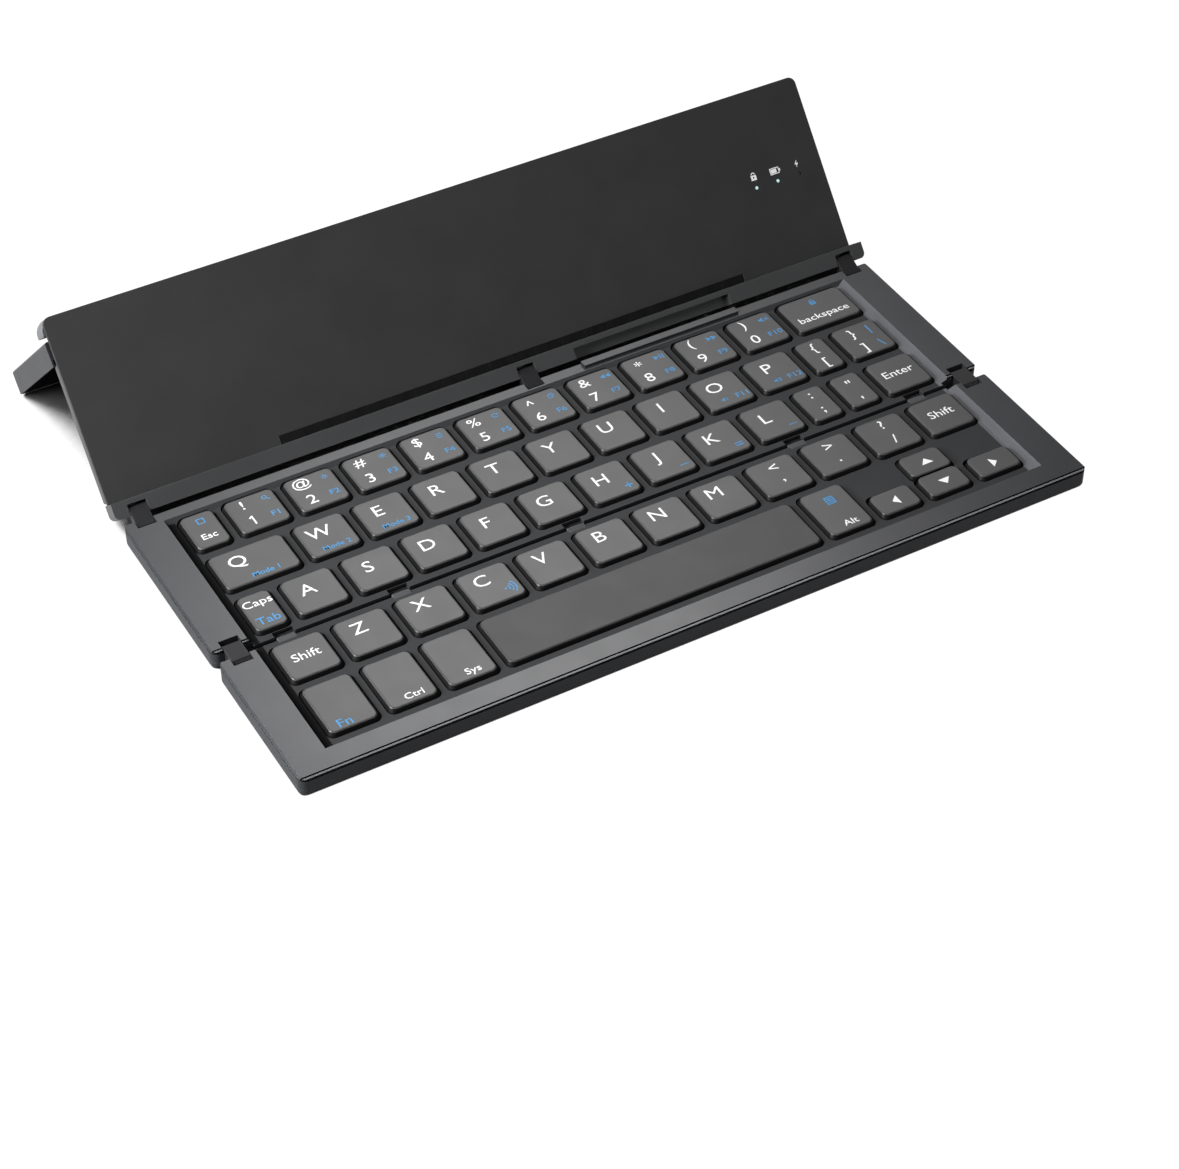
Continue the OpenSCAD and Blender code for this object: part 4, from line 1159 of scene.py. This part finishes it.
@dataclass
class Panel:
    """One key panel: deck, bottom cover, feet and screws, sizes in millimetres."""

    finishes: Finishes
    name: str
    front: float
    rear: float
    links: tuple[tuple[float, float], ...]
    half_width: float = 116.0
    top: float = 5.4
    chamfer: float = 0.5
    # depth of the chamfer's upper band that is painted as a highlight
    bead: float = 0.22
    groove: float = 0.45
    groove_depth: float = 0.4
    seam: float = 0.55
    seam_depth: float = 0.3
    well_z: float = 4.6
    floor_z: float = 4.1
    slope_foot: float = 104.9
    slope_run: float = 1.2
    # the well floor left of this x is painted shade
    painted_shade_x: float = -103.32
    # the well floor right of this x is painted light, like the slope
    slope_x: float = 102.6
    foot_radius: float = 4.0
    foot_low: float = -0.3
    foot_high: float = 0.4
    foot_in_x: float = 18.0
    foot_in_y: float = 9.0
    screws_x: tuple[float, ...] = (-72.0, 0.0, 72.0)
    well_in: float = 5.0  # how far inside the ends the well's floor can lie
    slope_in: float = 14.0  # how far inside the right end its slope can lie
    painted_shade_reach: float = 1.2  # how far the painted shade reaches past the slope's foot
    wall: float = 0.9  # width of the band that counts as the outer wall
    notch: tuple[float, float] = (2.8, 4.0)  # half the room about a link that stays free of the groove
    outer: tuple[float, float] = (60.0, 15.0)  # how far out, from the middle, an outer wall stands at least

    def on_rim(self, middle: Vector, normal: Vector) -> bool:
        """Tell whether a face is on the outer wall, away from the link notches.

        Args:
            middle: middle of the face in millimetres.
            normal: its normal.

        Returns:
            True for a face of the outer wall.
        """
        high, low = self.top - self.chamfer, self.top - self.chamfer - self.groove
        if abs(normal.z) > SLANTED or not low < middle.z < high:
            return False
        reach_x, reach_y = self.notch
        if any(abs(middle.x - x) < reach_x and abs(middle.y - y) < reach_y for x, y in self.links):
            return False
        out_x, out_y = self.outer
        outward = middle.x * normal.x > out_x or (middle.y - (self.front + self.rear) / 2) * normal.y > out_y
        return self.on_wall(middle) and outward

    def on_wall(self, middle: Vector) -> bool:
        """Tell whether a place is at the outer wall."""
        within = self.front + self.wall < middle.y < self.rear - self.wall
        return abs(middle.x) > self.half_width - self.wall or not within

    def finish_of(self, middle: Vector, normal: Vector) -> Skin:
        """Choose the finish of one face of the deck.

        Args:
            middle: middle of the face in millimetres.
            normal: its normal.

        Returns:
            The well's own finishes in the well, with painted shade on its left floor strip and painted light on its
            right slope, the cover's on the outer walls, and dark seam lines with a painted highlight between them along
            the front chamfer.
        """
        in_floor = middle.z > self.floor_z - 0.1
        # painted shade on the left strip of the well floor and on its wall
        if -self.slope_foot - self.painted_shade_reach < middle.x < self.painted_shade_x and in_floor:
            if normal.x > SLANTED or middle.z < self.well_z:
                return Skin.SEAM_AND_SHADE
        if middle.z < self.well_z and normal.z > FACING and abs(middle.x) < self.half_width - self.well_in:
            # painted light on the floor strip beside the right slope
            return Skin.SLOPE if middle.x > self.slope_x and in_floor else Skin.WELL
        # painted light on the right slope
        if middle.x > self.half_width - self.slope_in and normal.x < -SLANTED and normal.z > SLANTED:
            return Skin.SLOPE
        down, inward = self.top - middle.z, middle.y - self.front
        in_groove = abs(down - self.chamfer - self.groove / 2) < self.groove / 2 + 0.12
        if in_groove and 0.1 < inward < self.wall:
            return Skin.SEAM_AND_SHADE
        if abs(normal.z) < SLANTED and self.on_wall(middle) and down > self.chamfer:
            return Skin.COVER
        # the chamfer's upper band is a painted highlight, its lower band a dark seam line
        if down < self.chamfer and inward < self.chamfer and -FACING < normal.y < -SLANTED:
            return Skin.BEAD if down < self.bead else Skin.SEAM_AND_SHADE
        in_seam = self.chamfer - 0.02 < inward < self.chamfer + self.seam + 0.02
        return Skin.SEAM_AND_SHADE if in_seam and NEAR < down < self.seam_depth + 0.1 else Skin.PANEL

    def deck(self) -> None:
        """Model the deck with a flat right slope in its well, and a groove and a seam along its front chamfer."""
        piece = merged(f"{self.name}_deck", f"{self.name}_deck_cover")
        line = self.front + self.chamfer + self.seam
        with editing(piece):
            pick_edges(
                piece,
                lambda a, b: all(abs(v.x - self.slope_foot) + abs(v.z - self.floor_z) < NEAR for v in (a, b)),
            )
            bpy.ops.transform.translate(value=(-self.slope_run * MM, 0, 0))
            # cut the well floor where its painted shade and its painted light begin
            for place in (self.painted_shade_x, self.slope_x):
                pick_faces(piece, lambda c, n: n.z > FACING and abs(c.z - self.floor_z) < NEAR)
                bpy.ops.mesh.bisect(plane_co=(place * MM, 0, 0), plane_no=(1, 0, 0))
            for drop in (self.bead, self.chamfer + 0.001, self.chamfer + self.groove):
                bpy.ops.mesh.select_all(action="SELECT")
                bpy.ops.mesh.bisect(plane_co=(0, 0, (self.top - drop) * MM), plane_no=(0, 0, 1))
            pick_faces(piece, lambda c, n: n.z > FACING and c.z > self.top - NEAR)
            bpy.ops.mesh.bisect(plane_co=(0, line * MM, 0), plane_no=(0, 1, 0))
            pick_faces(piece, lambda c, n: n.z > FACING and c.z > self.top - NEAR and c.y < line)
            sink(self.seam_depth)
            if pick_faces(piece, self.on_rim):
                sink(self.groove_depth)
        soften(piece, 0.1, 2)
        for polygon in piece.data.polygons:
            polygon.material_index = self.finish_of(polygon.center / MM, polygon.normal).value
        coat(piece, *[self.finishes[skin.name.lower()] for skin in Skin])
        hand_over(piece, f"{self.name}_panel", "panel_decks", f"{self.name}_deck")

    def cover(self) -> None:
        """Soften the bottom cover."""
        piece = softened(f"{self.name}_base", f"{self.name}_bottom_cover", 0.12, 2)
        hand_over(coat(piece, self.finishes["cover"]), f"{self.name}_panel", "panel_trays", f"{self.name}_base")

    def foot(self) -> Piece:
        """Model one foot about its axis: a round pad with a soft rim and a dished sole.

        Returns:
            The foot.
        """
        middle = (self.foot_low + self.foot_high) / 2
        piece = disc("foot", (0, 0, middle), self.foot_radius, self.foot_high - self.foot_low, 48)
        with editing(piece):
            pick_edges(piece, lambda a, b: max(a.z, b.z) < self.foot_low + 0.01)
            bevel(0.2, 3)
            pick_faces(piece, lambda c, n: n.z < -0.99)
            bpy.ops.mesh.inset(thickness=0.8 * MM)
            extrude(z=0.12)
        shade(piece)
        return piece

    def feet(self) -> None:
        """Copy the foot to the four corners."""
        out = self.half_width - self.foot_in_x
        piece = spread_out(self.foot(), f"{self.name}_foot_pads", (-out, out), self.fastened_y())
        hand_over(coat(piece, self.finishes["rubber"]), f"{self.name}_panel", "rubber_feet", f"{self.name}_feet")

    def screws(self) -> None:
        """Put screws in the bottom cover."""
        piece = spread_out(screw_head(), f"{self.name}_screws", self.screws_x, self.fastened_y())
        hand_over(coat(piece, self.finishes["steel"]), f"{self.name}_panel", "hinge_pins")

    def fastened_y(self) -> tuple[float, float]:
        """Give the two lines, front and rear, on which feet and screws sit."""
        return self.front + self.foot_in_y, self.rear - self.foot_in_y

    def build(self) -> None:
        """Build the panel."""
        self.deck()
        self.cover()
        self.feet()
        self.screws()


def screw_head() -> Piece:
    """Model a countersunk screw head that faces down, its rim at height zero.

    Returns:
        The screw head.
    """
    piece = disc("screw", (0, 0, -0.1), 1.5, 0.3, 32)
    with editing(piece):
        pick_edges(piece, lambda a, b: min(a.z, b.z) > 0.04)
        bevel(0.12, 2)
        pick_faces(piece, lambda c, n: n.z > 0.99)
        bpy.ops.mesh.inset(thickness=0.85 * MM)
        extrude(z=-0.2)
    shade(piece)
    piece.data.transform(Matrix.Rotation(math.pi, 4, "X"))
    return piece


# ---------------------------------------------------------------- hinges


@dataclass
class Hinges:
    """The links of both folds and the bumpers between the panels."""

    finishes: Finishes
    edge: float = 0.22

    def build(self) -> None:
        """Soften the links and the bumpers."""
        link = self.finishes["link"]
        dress("front_links", "front_hinge_links", self.edge, link, "front_hinge", "hinge_links")
        dress("lid_links", "lid_hinge_links", self.edge, link, "lid_hinge", "hinge_links")
        dress("fold_bumpers", "fold_bumper_pads", 0.18, self.finishes["bumper"], "front_panel", "bumpers")


# ---------------------------------------------------------------- lid


@dataclass
class Lid:
    """The lid, modelled flat with its face up and its hinge edge at y = 0, then leaned back."""

    finishes: Finishes
    printer: Printer
    hinge: tuple[float, float, float] = (0.0, 29.3485, 6.0217)
    lean: float = 49.5
    face: float = -5.9
    ledge_x: tuple[float, float] = (-65.7, 80.4)
    ledge_y: tuple[float, float] = (4.7, 6.9)
    ledge_low: float = -6.4
    ledge_high: float = -5.98
    rib_pitch: float = 0.9
    lamps: tuple[float, ...] = (93.7, 100.9, 108.2)
    lamp_y: float = 28.8
    lamp_radius: float = 0.5
    port_x: float = 116.1
    port_y: float = 19.5
    port_z: float = -8.9
    port_size: tuple[float, float] = (8.3, 2.4)
    back: float = -11.5
    screws_x: tuple[float, ...] = (-104.0, 0.0, 104.0)
    screws_y: tuple[float, ...] = (10.0, 38.0)

    def stand_up(self) -> Matrix:
        """Give the move from the flat lid to the leaning one."""
        place = Matrix.Translation([h * MM for h in self.hinge])
        return place @ Matrix.Rotation(math.radians(self.lean), 4, "X")

    def lean_back(self, piece: Piece) -> Piece:
        """Move a piece from the flat lid to the leaning one.

        Args:
            piece: the piece, modelled flat.

        Returns:
            The same piece, its place in its mesh.
        """
        piece.data.transform(self.stand_up())
        piece.data.update()
        return piece

    def paint_inner_edge_shade(self, piece: Piece) -> None:
        """Paint shade on the softened edge between the spine and the plate, with the dark finish.

        Args:
            piece: the spine.
        """
        flat = Matrix.Rotation(math.radians(-self.lean), 3, "X")
        for polygon in piece.data.polygons:
            normal = flat @ polygon.normal
            # painted shade on the edge that faces the plate
            polygon.material_index = int(normal.y > 0.25 and normal.z > 0.25 and abs(normal.x) < 0.2)

    def frame_parts(self) -> None:
        """Soften the plate, the spine, the strip and the housing."""
        for node, name, edge, finish, slot in (
            ("lid_plate", "lid_front_plate", 0.18, "plate", "lid_front"),
            ("lid_spine", "lid_hinge_spine", 0.35, "spine", "lid_frame"),
            ("lid_strip", "lid_edge_strip", 0.3, "strip", "shell"),
            ("core_housing", "lid_core_housing", 0.25, "core", "core_plastic"),
        ):
            piece = softened(node, name, edge)
            # the spine's inner edge gets painted shade
            if node == "lid_spine":
                self.paint_inner_edge_shade(piece)
            hand_over(coat(piece, self.finishes[finish], self.finishes["skirt"]), "lid", slot, node)

    def ledge(self) -> None:
        """Model the rubber ledge as a strip with cross ribs."""
        (x0, x1), (y0, y1) = self.ledge_x, self.ledge_y
        piece = block("phone_ledge_strip", (x0, y0, self.ledge_low), (x1, y1, self.ledge_high))
        ribs = int((x1 - x0) / self.rib_pitch) // 2 * 2
        with editing(piece):
            pick_edges(piece, lambda a, b: abs(a.x - b.x) > 50)
            bpy.ops.mesh.subdivide(number_cuts=ribs)
            step = (x1 - x0) / (ribs + 1)
            pick_faces(piece, lambda c, n: n.z > FACING and int((c.x - x0) / step) % 2 == 1)
            extrude(z=0.1)
        soften(piece, 0.06, 2)
        hand_over(coat(self.lean_back(piece), self.finishes["ledge"]), "lid", "ledge_rubber", "phone_ledge")

    def indicators(self) -> None:
        """Model the indicator lenses as low domes, the last one unlit."""
        domes = []
        for number, x in enumerate(self.lamps):
            dome = disc("dome", (x, self.lamp_y, self.face - 0.72), self.lamp_radius, 1.4, 24)
            with editing(dome):
                pick_edges(dome, lambda a, b: min(a.z, b.z) > self.face - NEAR)
                bevel(0.2, 3)
            shade(dome)
            for polygon in dome.data.polygons:
                polygon.material_index = number // 2
            coat(dome, self.finishes["lit"], self.finishes["unlit"])
            domes.append(dome)
        piece = self.lean_back(join("indicator_domes", domes))
        hand_over(piece, "lid", "indicator_lens", "indicator_lenses")

    def indicator_print(self) -> None:
        """Print a lock, a battery and a bolt over the indicators."""
        place = self.stand_up() @ Matrix.Translation((0, 0, (self.face + LIFT) * MM))
        signs = ((Sign.LOCK, -32.2, 2.6), (Sign.BATTERY, -31.8, 1.9), (Sign.BOLT, -31.8, 2.2))
        marks = [(Mark(sign, x, y, height), place) for x, (sign, y, height) in zip(self.lamps, signs)]
        hand_over(self.printer.sheet("indicator_print", marks, self.finishes), "lid", "lid_front")

    def charge_socket(self) -> None:
        """Model the charging socket as a rounded sleeve with a tongue."""
        wide, high = self.port_size
        x, y, z = self.port_x, self.port_y, self.port_z
        shell = block("charge_sleeve", (x - 7, y - wide / 2, z - high / 2), (x, y + wide / 2, z + high / 2))
        with editing(shell):
            pick_edges(shell, lambda a, b: abs(a.x - b.x) > 3)
            bevel(1.1, 6)
            pick_faces(shell, lambda c, n: n.x > FACING)
            bpy.ops.mesh.inset(thickness=0.3 * MM)
            extrude(x=-5.5)
        tongue = block("tongue", (x - 6, y - 3.0, z - 0.35), (x - 0.9, y + 3.0, z + 0.35))
        with editing(tongue):
            pick_edges(tongue, lambda a, b: min(a.x, b.x) > x - 1)
            bevel(0.2, 2)
        shade(shell)
        shade(tongue)
        coat(shell, self.finishes["steel"])
        coat(tongue, self.finishes["skirt"])
        piece = self.lean_back(join("charge_socket_sleeve", [shell, tongue]))
        hand_over(piece, "lid", "socket_shell", "charge_socket")

    def screws(self) -> None:
        """Put screws in the back of the housing."""
        piece = spread_out(screw_head(), "lid_screws", self.screws_x, self.screws_y, self.back)
        hand_over(coat(self.lean_back(piece), self.finishes["steel"]), "lid", "hinge_pins")

    def build(self) -> None:
        """Build the lid."""
        self.frame_parts()
        self.ledge()
        self.indicators()
        self.indicator_print()
        self.charge_socket()
        self.screws()


@dataclass
class Kickstand:
    """The metal shell that folds out behind the lid."""

    finishes: Finishes
    edge: float = 0.22

    def build(self) -> None:
        """Soften the shell's edges."""
        dress("kickstand", "kickstand_shell", self.edge, self.finishes["shell"], "stand", "shell")


@dataclass
class InnerParts:
    """Solids that stay as they are and get a finish: boards, mats, pins, magnets and the battery."""

    finishes: Finishes
    painted: tuple[tuple[str, tuple[str, ...]], ...] = (
        ("board", ("rear_board", "front_board", "main_board")),
        ("mat", ("rear_dome_mat", "front_dome_mat")),
        ("steel", ("front_magnets", "lid_magnets", "front_link_pins", "lid_link_pins", "kickstand_pins")),
        ("ribbon", ("front_flex", "lid_flex")),
        ("wrap", ("battery",)),
    )

    def build(self) -> None:
        """Give each inner solid its finish."""
        for finish, nodes in self.painted:
            for node in nodes:
                coat(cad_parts[node], self.finishes[finish])
                LOG.info("%s keeps its solid", node)


# ---------------------------------------------------------------- stage


@dataclass(frozen=True)
class Softbox:
    """One soft lamp: where it hangs, the point it faces, its width and height, in metres, and its power."""

    name: str
    place: tuple[float, float, float]
    aim: tuple[float, float, float]
    size: tuple[float, float]
    watts: float


@dataclass
class Studio:
    """The floor, the soft lamps, the pale surroundings and the camera, sizes in metres."""

    floor_z: float = -0.00032
    floor_span: float = 12.0
    camera_place: tuple[float, float, float] = (-0.29937, -0.53623, 0.51497)
    camera_turn: tuple[float, float, float] = (47.59, 0.0, -29.83)
    lens: float = 90.65
    sky: tuple[float, ...] = (0.08, 0.3, 0.22, 0.12)  # two heights, and the strength at each
    shade_reach: float = 0.05
    shade: tuple[float, ...] = (0.3, 0.42, 0.0, 1.2)  # two shares of open air, and the paper's glow at each
    paper_white: float = 0.85
    paper_tones: tuple[tuple[float, ...], ...] = ((0.3, 0.3, 0.3), (0.32, 0.32, 0.32))
    clip: tuple[float, float] = (0.01, 30)
    lamps: tuple[Softbox, ...] = (
        Softbox("left_softbox", (-0.52, 0.03, 0.27), (-0.05, -0.03, 0), (0.3, 0.2), 5.0),
        Softbox("rear_softbox", (0.48, 0.95, 1.13), (-0.05, -0.05, 0), (0.45, 0.36), 4.6),
        Softbox("top_softbox", (-0.2, -0.3, 1.1), (0, 0, 0), (0.8, 0.8), 1.2),
        Softbox("front_strip", (0.42, -0.82, 0.72), (0.0, -0.08, 0), (0.6, 0.12), 0.8),
    )

    def floor(self) -> None:
        """Lay a pale floor that looks white and keeps the soft shadow."""
        pick()
        bpy.ops.mesh.primitive_plane_add(size=self.floor_span, location=(0, 0, self.floor_z))
        floor = bpy.context.active_object
        floor.name = "floor"
        recipe = Recipe(bpy.data.materials.new("floor_paper"))
        tone = recipe.mix(recipe.spread(recipe.noise(60, 2), 0, 1), *self.paper_tones)
        recipe.feed(recipe.shader, {"Base Color": tone, "Roughness": 0.9, "Specular IOR Level": 0.1})
        open_air = recipe.node("AmbientOcclusion", {"Distance": self.shade_reach}, samples=24).outputs["AO"]
        white = recipe.ranged(open_air, *self.shade)
        glow = recipe.node("Emission", {"Strength": white}).outputs[0]
        rays = recipe.node("LightPath").outputs
        seen = rays["Is Camera Ray"]
        for ray in ("Is Glossy Ray", "Is Transmission Ray"):
            seen = recipe.math("MAXIMUM", seen, rays[ray])
        share = recipe.math("MULTIPLY", seen, self.paper_white)
        blend = recipe.node("MixShader", {0: share, 1: recipe.shader.outputs[0], 2: glow}).outputs[0]
        recipe.feed(recipe.tree.nodes["Material Output"], {"Surface": blend})
        coat(floor, recipe.owner)

    def surroundings(self) -> None:
        """Make a sky that is pale at the horizon, calm above, and white where it is seen."""
        bpy.context.scene.world = bpy.data.worlds.new("tent")
        sky = Recipe(bpy.context.scene.world, "Background")
        apart = sky.node("SeparateXYZ", {0: sky.places["Generated"]}).outputs
        light = sky.ranged(apart["Z"], *self.sky)
        seen = sky.node("LightPath").outputs["Is Camera Ray"]
        sky.feed(sky.shader, {"Strength": sky.math("MAXIMUM", light, seen), "Color": (1, 1, 1, 1)})

    def lamp(self, box: Softbox) -> None:
        """Hang one soft lamp.

        Args:
            box: the lamp.
        """
        data = bpy.data.lights.new(box.name, "AREA")
        data.shape = "RECTANGLE"
        data.size, data.size_y = box.size
        data.energy = box.watts
        lamp = put_in_scene(box.name, data, box.place)
        lamp.rotation_mode = "QUATERNION"
        lamp.rotation_quaternion = (Vector(box.aim) - Vector(box.place)).to_track_quat("-Z", "Y")

    def camera(self) -> None:
        """Set the camera."""
        data = bpy.data.cameras.new("view")
        data.lens = self.lens
        data.clip_start, data.clip_end = self.clip
        camera = put_in_scene("view", data, self.camera_place)
        camera.rotation_euler = [math.radians(a) for a in self.camera_turn]
        bpy.context.scene.camera = camera

    def build(self) -> None:
        """Set up the studio."""
        bpy.context.scene.view_settings.view_transform = "Standard"
        self.floor()
        self.surroundings()
        for box in self.lamps:
            self.lamp(box)
        self.camera()


def main() -> None:
    """Build the studio and every sub-assembly in order."""
    logging.basicConfig(level=logging.INFO, format="%(name)s: %(message)s")
    finishes = Finishes()
    printer = Printer()
    Studio().build()
    rear_links = ((-110.2, -28.0), (110.2, -28.0), (-110.2, 28.0), (5.6, 28.0), (110.2, 28.0))
    Panel(finishes, "rear", -28.0, 28.0, rear_links).build()
    Panel(finishes, "front", -78.45, -31.25, ((-110.2, -31.25), (110.2, -31.25))).build()
    Keyboard(finishes, printer).build()
    Hinges(finishes).build()
    Lid(finishes, printer).build()
    Kickstand(finishes).build()
    InnerParts(finishes).build()


if __name__ == "__main__":
    main()
